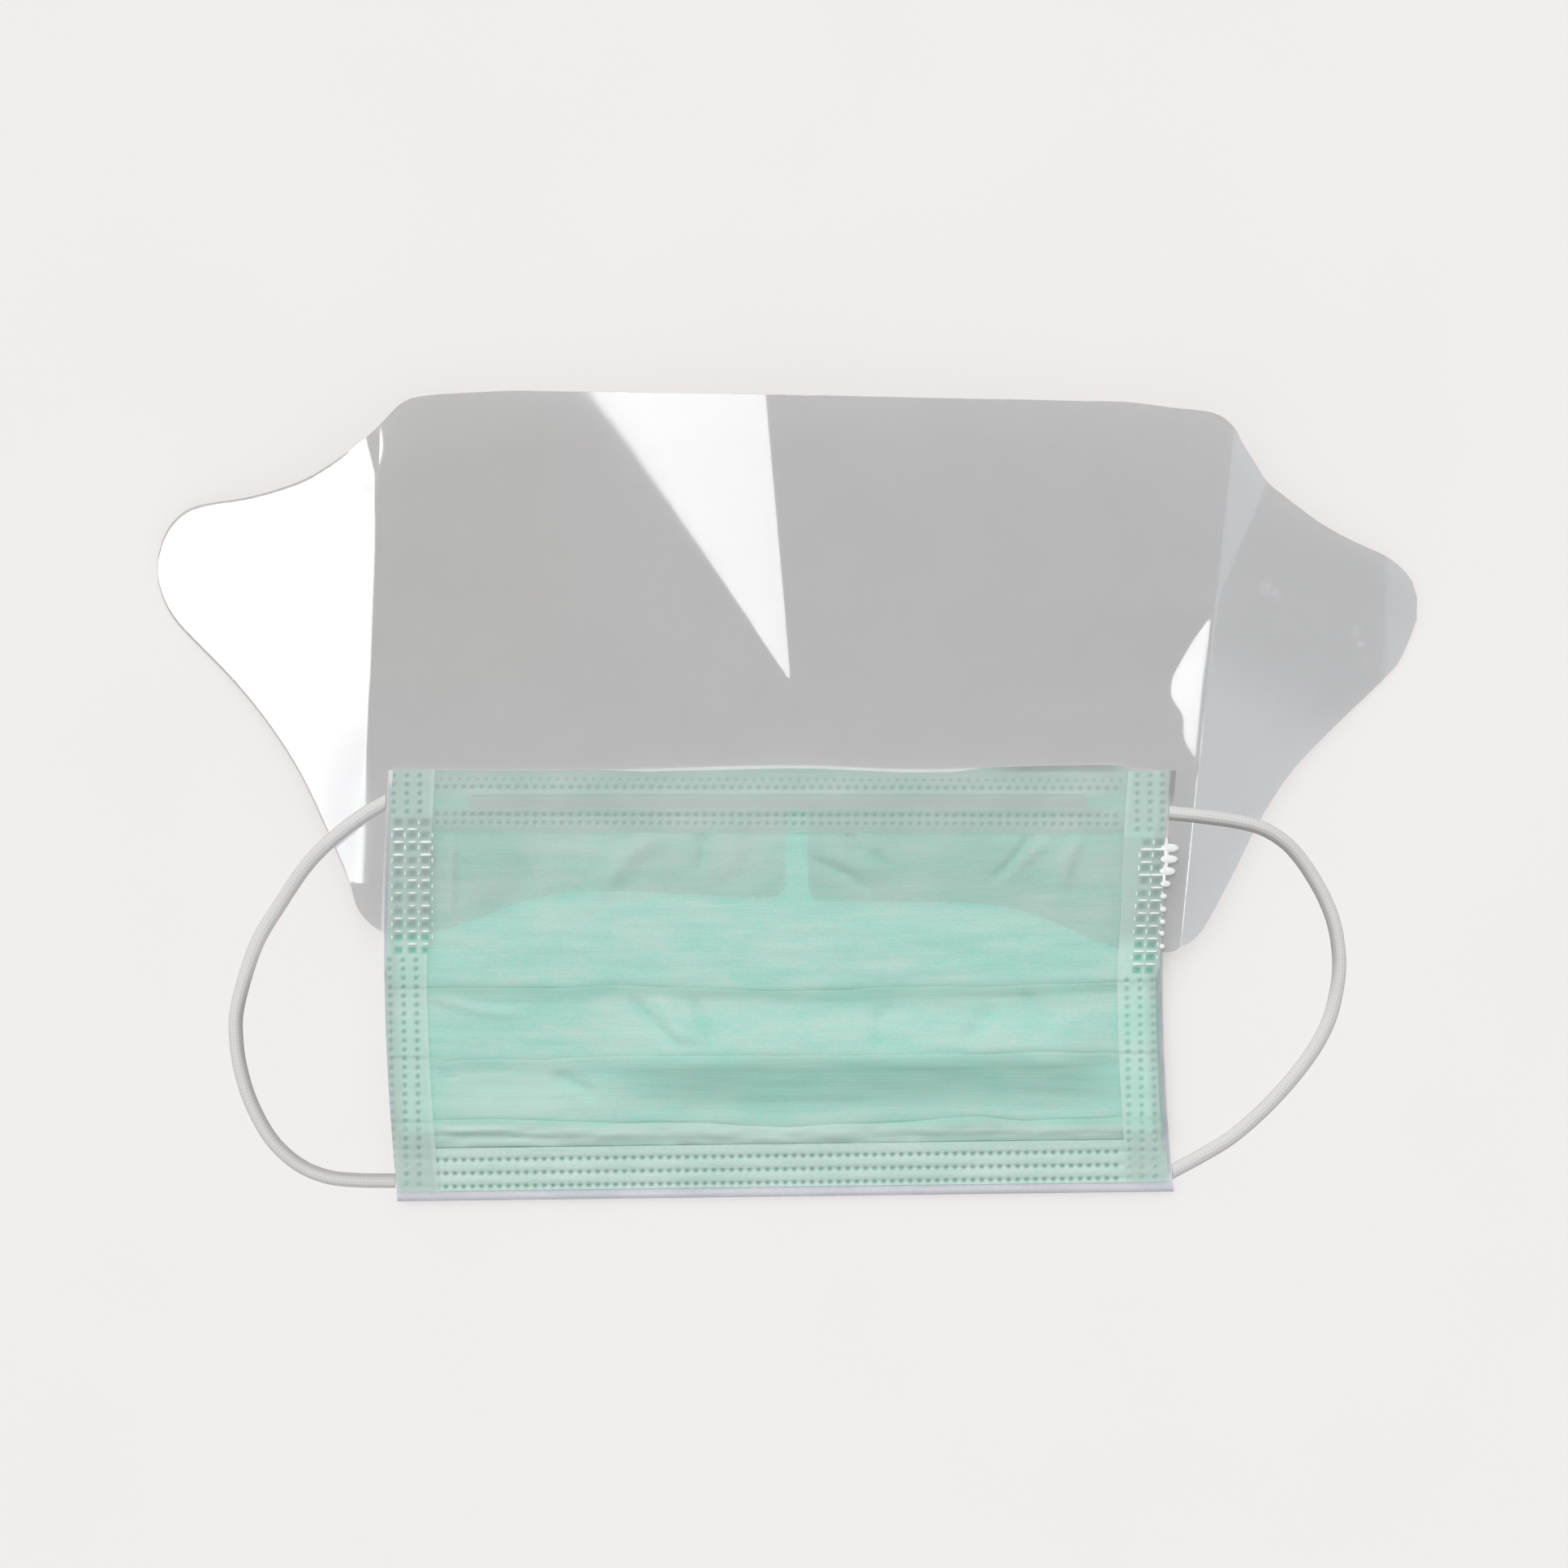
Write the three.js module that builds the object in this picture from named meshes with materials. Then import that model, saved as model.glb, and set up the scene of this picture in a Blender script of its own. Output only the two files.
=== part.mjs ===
// Face mask with a clear visor, lying on a surface with its outer face up.
// Sizes are in millimetres. +X runs across the mask, +Y from its chin edge towards the visor's top
// edge and +Z up from the surface. The origin is on the surface, under the middle of the outline.

import * as THREE from "three";

// Walls and clearance
const CLOTH = 1.0; // one cloth ply
const FILM = 0.5; // visor sheet
const GAP = 0.3; // between neighbouring pieces
const LAYER = CLOTH + GAP; // rise from one ply to the next

// Mask outline: each edge by the place of its two ends, and the bow of both side edges at mid height
const TOP = { left: 6.1, right: 5.7 };
const BOTTOM = { left: -90.5, right: -88.3 };
const LEFT = { top: -89.2, bottom: -87.4 };
const RIGHT = { top: 85.8, bottom: 86.5 };
const BOW = -2.1;

// Width of white inner ply that shows past the green plies
const SHOWN = { side: 1.0, bottom: 2.0 };

// Pleats from the chin up: height of the folded edge at each side, and how far the cloth runs back
const PLEATS = [
  { left: -73.2, right: -72.2, tuck: 7.5 },
  { left: -58.4, right: -57.5, tuck: 7.5 },
  { left: -42.9, right: -41.5, tuck: 7.5 },
];
const TURN_STEPS = 4; // straight steps in each half turn of a fold
const TUCK_CLEAR = 1.2; // level run past the inner fold, before the cloth slopes down

// Hems, bands and wire
const TOP_HEM_WIDTH = 14;
const BOTTOM_HEM_WIDTH = 9.6;
const BAND_WIDTH = { left: 8.3, right: 9.4 };
const WIRE = { length: 140, width: 2.7, height: 0.8, x: -2.1, y: -1.45 };
const WIRE_SIDE = 0.9; // room beside the wire under the hem
const HUMP_SLOPE = 1.0; // width of the hem's slope beside the wire

// Middle height of each ply above the surface
const INNER_Z = CLOTH / 2;
const PANEL_Z = INNER_Z + LAYER;
const HEM_Z = PANEL_Z + LAYER;
const FOLD_Z = HEM_Z + LAYER;
const WIRE_Z = HEM_Z - CLOTH / 2; // underside of the wire
const HUMP_Z = WIRE_Z + WIRE.height + GAP + CLOTH / 2;

// Visor: the underside lies level on the mask, lifts towards the top edge, and folds at two creases
const FILM_Z = FOLD_Z + CLOTH / 2 + GAP;
const LIFT = { start: 6, end: 90.5, height: 10 };
const CREASES = {
  left: { lowX: -95.8, lowY: -25.7, highX: -91.2, highY: 82.6, slope: 0.147 },
  right: { lowX: 87.8, lowY: -33.5, highX: 99.2, highY: 82.4, slope: 0.134 },
};
const FILM_STEPS = 12; // cells from the lower to the upper edge

// Visor outline as straight sections from the lower to the upper edge, from the left wing's tip to
// the right one's. The creases are sections, and the seven from slotLeft to slotRight are the nose slot.
const SECTIONS = [
  { lowX: -141.1, lowY: 48.6, highX: -141.1, highY: 53.2 },
  { lowX: -140.4, lowY: 45.3, highX: -140.2, highY: 57.0 },
  { lowX: -138.1, lowY: 40.6, highX: -137.5, highY: 61.6 },
  { lowX: -134.8, lowY: 36.6, highX: -132.6, highY: 64.9 },
  { lowX: -124.5, lowY: 26.1, highX: -121.7, highY: 66.7 },
  { lowX: -116.3, lowY: 16.1, highX: -115.4, highY: 68.2 },
  { lowX: -109.0, lowY: 4.8, highX: -108.1, highY: 70.7 },
  { lowX: -102.7, lowY: -8.4, highX: -101.8, highY: 74.3 },
  { lowX: -98.1, lowY: -18.8, highX: -95.5, highY: 78.9 },
  { lowX: CREASES.left.lowX, lowY: CREASES.left.lowY, highX: CREASES.left.highX, highY: CREASES.left.highY },
  { lowX: -90.0, lowY: -30.6, highX: -86.0, highY: 87.8 },
  { lowX: -81.1, lowY: -31.7, highX: -80.5, highY: 89.4 },
  { lowX: -68.5, lowY: -27.0, highX: -68.5, highY: 90.2 },
  { lowX: -61.6, lowY: -23.7, highX: -60.9, highY: 90.5 },
  { lowX: -54.6, lowY: -21.7, highX: -54.6, highY: 90.4 },
  { lowX: -41.8, lowY: -21.0, highX: -41.8, highY: 90.2 },
  { lowX: -17.9, lowY: -22.1, highX: -17.9, highY: 89.7 },
  { lowX: -4.6, lowY: -22.6, highX: -4.6, highY: 89.4 },
  { lowX: -1.7, lowY: -21.4, highX: -1.7, highY: 89.4 },
  { lowX: -0.5, lowY: -18.6, highX: -0.5, highY: 89.4 },
  { lowX: -0.3, lowY: -5.0, highX: -0.3, highY: 89.3 },
  { lowX: 0.6, lowY: -3.2, highX: 0.6, highY: 89.3 },
  { lowX: 2.1, lowY: -2.6, highX: 2.1, highY: 89.3 },
  { lowX: 3.6, lowY: -3.2, highX: 3.6, highY: 89.2 },
  { lowX: 4.4, lowY: -5.0, highX: 4.4, highY: 89.2 },
  { lowX: 4.6, lowY: -19.2, highX: 4.6, highY: 89.2 },
  { lowX: 5.8, lowY: -22.2, highX: 5.8, highY: 89.2 },
  { lowX: 8.4, lowY: -23.3, highX: 8.4, highY: 89.2 },
  { lowX: 39.8, lowY: -23.5, highX: 39.8, highY: 88.5 },
  { lowX: 50.2, lowY: -24.6, highX: 52.0, highY: 88.3 },
  { lowX: 62.7, lowY: -29.3, highX: 64.0, highY: 88.0 },
  { lowX: 69.6, lowY: -32.8, highX: 75.2, highY: 87.8 },
  { lowX: 74.2, lowY: -34.9, highX: 85.0, highY: 86.6 },
  { lowX: 85.2, lowY: -34.8, highX: 94.7, highY: 85.4 },
  { lowX: CREASES.right.lowX, lowY: CREASES.right.lowY, highX: CREASES.right.highX, highY: CREASES.right.highY },
  { lowX: 90.1, lowY: -32.4, highX: 101.2, highY: 78.9 },
  { lowX: 93.4, lowY: -28.8, highX: 103.5, highY: 75.4 },
  { lowX: 99.8, lowY: -17.0, highX: 107.0, highY: 70.2 },
  { lowX: 105.2, lowY: -6.1, highX: 111.5, highY: 66.6 },
  { lowX: 111.2, lowY: 3.5, highX: 117.0, highY: 62.5 },
  { lowX: 116.1, lowY: 9.3, highX: 121.5, highY: 59.7 },
  { lowX: 123.4, lowY: 16.6, highX: 127.0, highY: 56.9 },
  { lowX: 135.2, lowY: 28.0, highX: 134.8, highY: 53.3 },
  { lowX: 138.4, lowY: 33.0, highX: 139.7, highY: 48.6 },
  { lowX: 141.1, lowY: 40.0, highX: 141.1, highY: 44.2 },
];

// Height of a side band's middle where it lies on the film, the pleats and the bottom hem
const BAND_ON_FILM = FILM_Z + FILM + GAP + CLOTH / 2;
const BAND_ON_PLEATS = FOLD_Z + LAYER;
const BAND_ON_HEM = HEM_Z + LAYER;
const BAND_LEVELS = [
  { y: -80.5, z: BAND_ON_HEM },
  { y: -75.5, z: BAND_ON_PLEATS },
  { y: -57.0, z: BAND_ON_PLEATS },
  { y: -41.0, z: BAND_ON_PLEATS },
  { y: -37.0, z: BAND_ON_FILM },
  { y: -22.0, z: BAND_ON_FILM },
  { y: -8.0, z: BAND_ON_FILM },
];

// Ear loops: round elastic, from under the top corner of a band, over the wing, along the surface
// and back to the band's bottom corner
const CORD = { diameter: 3.2, sides: 8, stepDiameters: 2.2 };
const LEFT_ROUTE = [
  [-89.8, -1.2, 7.6],
  [-95.0, -4.3, 7.6],
  [-101.9, -9.6, 6.7],
  [-107.9, -15.7, 4.6],
  [-113.9, -24.4, 2.3],
  [-118.5, -31.9, 1.65],
  [-121.4, -39.7, 1.65],
  [-123.5, -48.2, 1.65],
  [-123.6, -54.0, 1.65],
  [-122.9, -59.7, 1.65],
  [-121.0, -66.7, 1.65],
  [-117.9, -73.4, 1.65],
  [-114.2, -78.6, 1.65],
  [-108.9, -82.9, 1.7],
  [-103.0, -85.2, 2.3],
  [-96.3, -85.9, 3.6],
  [-87.2, -86.0, 4.4],
];
const RIGHT_ROUTE = [
  [84.8, -3.6, 7.6],
  [91.6, -4.3, 7.6],
  [100.2, -5.5, 6.6],
  [105.9, -7.0, 5.6],
  [110.5, -9.6, 4.4],
  [113.9, -12.8, 3.2],
  [117.2, -17.3, 2.2],
  [120.4, -23.0, 1.65],
  [122.5, -28.7, 1.65],
  [123.5, -34.9, 1.65],
  [123.5, -40.0, 1.65],
  [122.7, -45.0, 1.65],
  [121.3, -50.1, 1.65],
  [118.7, -55.4, 1.65],
  [115.2, -60.5, 1.65],
  [110.6, -66.0, 1.65],
  [105.4, -71.3, 1.7],
  [99.2, -76.5, 2.2],
  [92.5, -80.5, 3.5],
  [86.3, -83.8, 4.4],
];

const { lerp, clamp } = THREE.MathUtils;

// Mask edges. u runs from 0 at the left edge to 1 at the right one.
const topY = (u) => lerp(TOP.left, TOP.right, u);
const bottomY = (u) => lerp(BOTTOM.left, BOTTOM.right, u);

function sideX(side, u, y) {
  const down = clamp((topY(u) - y) / (topY(u) - bottomY(u)), 0, 1);
  return lerp(side.top, side.bottom, down) + 4 * BOW * down * (1 - down);
}

// A place across the mask at height y, between its side edges less an inset
function acrossMask(u, y, inset) {
  return lerp(sideX(LEFT, 0, y) + inset, sideX(RIGHT, 1, y) - inset, u);
}

// A closed thin wall of across by along cells, with every corner placed by place(u, v, w).
// u and v run over the wall, and w through it, from 0 to 1.
function wall(across, along, place) {
  const geometry = new THREE.BoxGeometry(1, 1, 1, across, along, 1);
  const corners = geometry.getAttribute("position");
  const corner = new THREE.Vector3();
  for (let i = 0; i < corners.count; i++) {
    corner.fromBufferAttribute(corners, i).addScalar(0.5);
    const { x, y, z } = place(corner.x, corner.y, corner.z);
    corners.setXYZ(i, x, y, z);
  }
  geometry.computeVertexNormals();
  return geometry;
}

// The point beside a [y, z] line's point j, off it along the line's own normal
function besideLine(line, j, offset) {
  const before = line[Math.max(j - 1, 0)];
  const after = line[Math.min(j + 1, line.length - 1)];
  const run = new THREE.Vector2(after[0] - before[0], after[1] - before[1]).normalize();
  return { y: line[j][0] - run.y * offset, z: line[j][1] + run.x * offset };
}

// A cloth ply: its middle line at each place across, from the chin up, and where it lies across
function ply(across, lineAt, xAt) {
  const along = lineAt(0).length - 1;
  return wall(across, along, (u, v, w) => {
    const { y, z } = besideLine(lineAt(u), Math.round(v * along), (w - 0.5) * CLOTH);
    return { x: xAt(u, y), y, z };
  });
}

// Points evenly spaced on a level line
function levelLine(fromY, toY, z, steps) {
  return Array.from({ length: steps + 1 }, (_, i) => [lerp(fromY, toY, i / steps), z]);
}

// A half turn of folded cloth about [y, z], bulging towards +Y or -Y
function halfTurn(y, z, way) {
  return Array.from({ length: TURN_STEPS + 1 }, (_, i) => {
    const angle = Math.PI * (i / TURN_STEPS - 0.5);
    return [y + (way * LAYER * Math.cos(angle)) / 2, z + (LAYER * Math.sin(angle)) / 2];
  });
}

// Middle line of the pleated ply: up under each pleat, back to its folded edge, and on over the top
function pleatLine(u) {
  const line = [[bottomY(u) + SHOWN.bottom, PANEL_Z]];
  PLEATS.forEach((pleat, k) => {
    const outer = lerp(pleat.left, pleat.right, u) + LAYER / 2 + CLOTH / 2;
    const inner = outer + pleat.tuck;
    const above = PLEATS[k + 1];
    const slopeEnd = above ? lerp(above.left, above.right, u) - GAP : topY(u) - TOP_HEM_WIDTH - GAP;
    line.push(...halfTurn(inner, (PANEL_Z + HEM_Z) / 2, 1));
    line.push(...halfTurn(outer, (HEM_Z + FOLD_Z) / 2, -1));
    line.push([inner + TUCK_CLEAR, FOLD_Z], [slopeEnd, PANEL_Z]);
  });
  line.push([topY(u), PANEL_Z]);
  return line;
}

// Middle line of the top hem, which rises over the wire
function topHemLine(u) {
  const low = WIRE.y - WIRE.width / 2 - WIRE_SIDE;
  const high = WIRE.y + WIRE.width / 2 + WIRE_SIDE;
  return [
    [topY(u) - TOP_HEM_WIDTH, HEM_Z],
    [low - HUMP_SLOPE, HEM_Z],
    [low, HUMP_Z],
    [high, HUMP_Z],
    [high + HUMP_SLOPE, HEM_Z],
    [topY(u), HEM_Z],
  ];
}

function bottomHemLine(u) {
  const low = bottomY(u) + SHOWN.bottom;
  return levelLine(low, low + BOTTOM_HEM_WIDTH, HEM_Z, 2);
}

// A side band runs the height of the green cloth. u is 0 at its left edge and 1 at its right one.
function sideBand(side) {
  const maskU = side === "left" ? 0 : 1;
  const low = [bottomY(maskU) + SHOWN.bottom, BAND_ON_HEM];
  const high = [topY(maskU), BAND_ON_FILM];
  const line = [low, ...BAND_LEVELS.map(({ y, z }) => [y, z]), high];
  const outerX = (y) => acrossMask(maskU, y, SHOWN.side);
  const xAt =
    side === "left"
      ? (u, y) => outerX(y) + u * BAND_WIDTH.left
      : (u, y) => outerX(y) - (1 - u) * BAND_WIDTH.right;
  return ply(2, () => line, xAt);
}

// Visor sheet
function creaseX(crease, y) {
  return lerp(crease.lowX, crease.highX, (y - crease.lowY) / (crease.highY - crease.lowY));
}

function filmUnderside(x, y) {
  const lifted = clamp((y - LIFT.start) / (LIFT.end - LIFT.start), 0, 1);
  const pastLeft = Math.max(0, creaseX(CREASES.left, y) - x);
  const pastRight = Math.max(0, x - creaseX(CREASES.right, y));
  const drop = pastLeft * CREASES.left.slope + pastRight * CREASES.right.slope;
  return FILM_Z + LIFT.height * lifted ** 2 - drop;
}

function visorSheet() {
  const across = SECTIONS.length - 1;
  return wall(across, FILM_STEPS, (u, v, w) => {
    const section = SECTIONS[Math.round(u * across)];
    const x = lerp(section.lowX, section.highX, v);
    const y = lerp(section.lowY, section.highY, v);
    return { x, y, z: filmUnderside(x, y) + w * FILM };
  });
}

// Flat wire with round ends
function noseWire() {
  const r = WIRE.width / 2;
  const reach = WIRE.length / 2 - r;
  const outline = new THREE.Shape();
  outline.moveTo(-reach, -r);
  outline.lineTo(reach, -r);
  outline.absarc(reach, 0, r, -Math.PI / 2, Math.PI / 2);
  outline.lineTo(-reach, r);
  outline.absarc(-reach, 0, r, Math.PI / 2, (3 * Math.PI) / 2);
  return new THREE.ExtrudeGeometry(outline, { depth: WIRE.height, bevelEnabled: false, curveSegments: 5 });
}

// Elastic cord along its route
function earLoop(route) {
  const path = new THREE.CatmullRomCurve3(route.map((point) => new THREE.Vector3(...point)));
  const ring = Array.from({ length: CORD.sides }, (_, i) => {
    const angle = (2 * Math.PI * i) / CORD.sides;
    return new THREE.Vector2(Math.cos(angle), Math.sin(angle)).multiplyScalar(CORD.diameter / 2);
  });
  const steps = Math.round(path.getLength() / (CORD.diameter * CORD.stepDiameters));
  return new THREE.ExtrudeGeometry(new THREE.Shape(ring), { steps, extrudePath: path, bevelEnabled: false });
}

// Finishes
const finish = (color, roughness, more = {}) =>
  new THREE.MeshStandardMaterial({ color, roughness, metalness: 0, ...more });
const GREEN_CLOTH = finish(0xafd2c8, 0.9);
const BAND_CLOTH = finish(0xb3d2ca, 0.85);
const WHITE_CLOTH = finish(0xe6e7e8, 0.9);
const CLEAR_FILM = finish(0xb8b8b8, 0.08, { transparent: true, opacity: 0.5 });
const COATED_WIRE = finish(0xaab4b1, 0.5);
const ELASTIC = finish(0xcfcfcf, 0.85);

const mask = new THREE.Group();

function add(name, geometry, material, x = 0, y = 0, z = 0) {
  const mesh = new THREE.Mesh(geometry, material);
  mesh.name = name;
  mesh.position.set(x, y, z);
  mask.add(mesh);
}

const innerLine = (u) => levelLine(bottomY(u), topY(u), INNER_Z, 8);
const wholeWidth = (u, y) => acrossMask(u, y, 0);
const greenWidth = (u, y) => acrossMask(u, y, SHOWN.side);

add("inner_layer", ply(8, innerLine, wholeWidth), WHITE_CLOTH);
add("outer_panel", ply(10, pleatLine, greenWidth), GREEN_CLOTH);
add("nose_wire", noseWire(), COATED_WIRE, WIRE.x, WIRE.y, WIRE_Z);
add("top_hem", ply(10, topHemLine, greenWidth), GREEN_CLOTH);
add("bottom_hem", ply(10, bottomHemLine, greenWidth), GREEN_CLOTH);
add("visor_film", visorSheet(), CLEAR_FILM);
add("side_band_left", sideBand("left"), BAND_CLOTH);
add("side_band_right", sideBand("right"), BAND_CLOTH);
add("ear_loop_left", earLoop(LEFT_ROUTE), ELASTIC);
add("ear_loop_right", earLoop(RIGHT_ROUTE), ELASTIC);

export default mask;
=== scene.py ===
# %% [markdown]
# # Face mask with a clear visor
# This lesson dresses the CAD solids of a pleated ear-loop mask, which lies on a table with its outer
# face up and a clear visor over its upper half. Every piece is built in the CAD's own frame: +X runs
# across the mask, +Y towards the visor's top edge and +Z up from the table. Sizes are written in
# millimetres, and are turned into metres where a mesh is made.

# %% Load the frame
import math

import bmesh
import bpy
import numpy as np
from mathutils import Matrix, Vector, noise


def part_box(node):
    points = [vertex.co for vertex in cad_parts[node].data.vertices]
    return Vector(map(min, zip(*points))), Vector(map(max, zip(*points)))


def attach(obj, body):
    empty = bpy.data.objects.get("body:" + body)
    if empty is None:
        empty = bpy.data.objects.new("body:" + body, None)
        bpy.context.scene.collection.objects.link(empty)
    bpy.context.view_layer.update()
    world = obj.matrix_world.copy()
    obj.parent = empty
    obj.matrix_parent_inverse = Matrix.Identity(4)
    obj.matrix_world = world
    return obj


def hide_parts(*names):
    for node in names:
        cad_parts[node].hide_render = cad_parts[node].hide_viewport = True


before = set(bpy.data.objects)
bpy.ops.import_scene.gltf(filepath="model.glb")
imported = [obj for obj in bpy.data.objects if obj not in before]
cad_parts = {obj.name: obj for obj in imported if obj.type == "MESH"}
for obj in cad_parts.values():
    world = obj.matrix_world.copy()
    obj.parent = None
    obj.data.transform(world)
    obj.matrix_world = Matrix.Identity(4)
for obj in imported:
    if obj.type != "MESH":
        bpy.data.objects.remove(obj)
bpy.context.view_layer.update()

MM = 0.001

# %% [markdown]
# ## Camera
# The photograph looks straight down on the mask. A camera with no turn looks down already, with +Y up
# in the picture. A long lens from far away keeps the raised film from looking larger than it is, and
# lets every part of the film mirror nearly the same piece of the studio.

# %% Camera above the table
IMAGE_PX = 1932
MM_PER_PX = 0.18154
PICTURE_MIDDLE = Vector((-0.82, 2.81, 0))
LENS = 180
SENSOR = 36
TRUE_SCALE_LEVEL = 5  # height above the table at which a pixel is MM_PER_PX wide

picture_width = IMAGE_PX * MM_PER_PX
camera_height = picture_width * LENS / SENSOR + TRUE_SCALE_LEVEL
camera_data = bpy.data.cameras.new("overhead_camera")
camera_data.lens = LENS
camera_data.sensor_width = SENSOR
camera = bpy.data.objects.new("overhead_camera", camera_data)
camera.location = (PICTURE_MIDDLE + Vector((0, 0, camera_height))) * MM
bpy.context.collection.objects.link(camera)
bpy.context.scene.camera = camera
print(f"camera {camera_height:.0f} mm up, picture {picture_width:.1f} mm wide")

# %% [markdown]
# ## Studio light
# The mask lies in soft, even light: a broad sun from the visor's side, which puts a soft shadow under each
# pleat, and a pale world that fills in. Clear film shows itself by what it mirrors. Softboxes hang left of
# the camera, so only film that leans left turns white, and film that lies level mirrors the dim studio
# and stays grey. A faint card on the right brightens film that leans right a little, and thin ones
# show as bright lines where a crease turns past them. These lamps show in gloss alone: if they also lit
# the table, it would be brighter on the left than on the right.

# %% Sun, world and the lamps that the film mirrors
SUN = {"from": (-0.20, 0.55, 0.90), "strength": 1.92, "spread": 60}
WORLD_COLOUR = (0.98, 0.98, 1.0, 1.0)
WORLD_STRENGTH = 0.50
LAMP_HEIGHT = 1200
# Middle and size of each lamp in millimetres, its radiance and its colour
MIRRORED = {
    "softbox_near": {"middle": (-325, -299), "size": (150, 442), "glow": 8.4, "colour": (0.97, 0.98, 1.0)},
    "softbox_far": {"middle": (-525, -282), "size": (250, 475), "glow": 15.0, "colour": (1.0, 1.0, 1.0)},
    "softbox_far_low": {"middle": (-600, 12), "size": (100, 115), "glow": 15.0, "colour": (1.0, 1.0, 1.0)},
    "softbox_dim": {"middle": (-475, 12), "size": (150, 115), "glow": 7.2, "colour": (0.94, 0.96, 1.0)},
    "softbox_low": {"middle": (-360, -15), "size": (90, 150), "glow": 9.4, "colour": (0.97, 0.98, 1.0)},
    "card": {"middle": (410, -150), "size": (130, 700), "glow": 1.35, "colour": (0.86, 0.93, 1.0)},
    "thin_card": {"middle": (300, -44), "size": (50, 46), "glow": 18.0, "colour": (0.93, 0.96, 1.0)},
    "thin_card_high": {"middle": (300, -8), "size": (50, 26), "glow": 10.0, "colour": (0.96, 0.98, 1.0)},
}


def add_light(name, kind):
    lamp = bpy.data.lights.new(name, kind)
    holder = bpy.data.objects.new(name, lamp)
    holder.visible_camera = False
    bpy.context.collection.objects.link(holder)
    return holder, lamp


def add_mirrored_lamp(name, middle, size, glow, colour):
    """Hang a rectangular lamp, facing down, that shows only in gloss."""
    holder, lamp = add_light(name, "AREA")
    lamp.shape = "RECTANGLE"
    lamp.size, lamp.size_y = (side * MM for side in size)
    lamp.energy = glow * math.pi * lamp.size * lamp.size_y
    lamp.color = colour
    holder.location = Vector((*middle, LAMP_HEIGHT)) * MM
    holder.visible_diffuse = False
    print(f"{name}: {lamp.energy:.1f} W")


for lamp_name, lamp_facts in MIRRORED.items():
    add_mirrored_lamp(lamp_name, **lamp_facts)
sun_holder, sun = add_light("sun", "SUN")
sun_holder.visible_glossy = False
sun.energy = SUN["strength"]
sun.angle = math.radians(SUN["spread"])
sun_holder.rotation_euler = (-Vector(SUN["from"])).to_track_quat("-Z", "Y").to_euler()
world = bpy.data.worlds.new("studio")
world.use_nodes = True
background = world.node_tree.nodes["Background"]
background.inputs["Color"].default_value = WORLD_COLOUR
background.inputs["Strength"].default_value = WORLD_STRENGTH
bpy.context.scene.world = world
bpy.context.scene.view_settings.view_transform = "Standard"

# %% [markdown]
# ## A small language for nodes
# Node trees are easier to read as sums than as lists of links. A Wire stands for one output socket.
# Adding, taking away, multiplying and dividing Wires writes Math nodes, so `1 - mask` works as it
# looks. Any other node comes from Graph.add, with its settings first and then what its sockets get.

# %% Wires and graphs


class Wire:
    """An output socket that takes part in arithmetic by adding Math nodes."""

    def __init__(self, graph, socket):
        self.graph = graph
        self.socket = socket

    def __add__(self, other):
        return self.graph.math("ADD", self, other)

    def __radd__(self, other):
        return self.graph.math("ADD", other, self)

    def __sub__(self, other):
        return self.graph.math("SUBTRACT", self, other)

    def __rsub__(self, other):
        return self.graph.math("SUBTRACT", other, self)

    def __mul__(self, other):
        return self.graph.math("MULTIPLY", self, other)

    def __rmul__(self, other):
        return self.graph.math("MULTIPLY", other, self)

    def __truediv__(self, other):
        return self.graph.math("DIVIDE", self, other)

    def __rtruediv__(self, other):
        return self.graph.math("DIVIDE", other, self)

    def __pow__(self, other):
        return self.graph.math("POWER", self, other)

    def __abs__(self):
        return self.graph.math("ABSOLUTE", self)


def find_socket(sockets, key):
    """Find a socket by number, by identifier or by name."""
    if isinstance(key, int):
        return sockets[key]
    by_identifier = [socket for socket in sockets if socket.identifier == key]
    by_name = [socket for socket in sockets if socket.name == key]
    return (by_identifier + by_name)[0]


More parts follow.
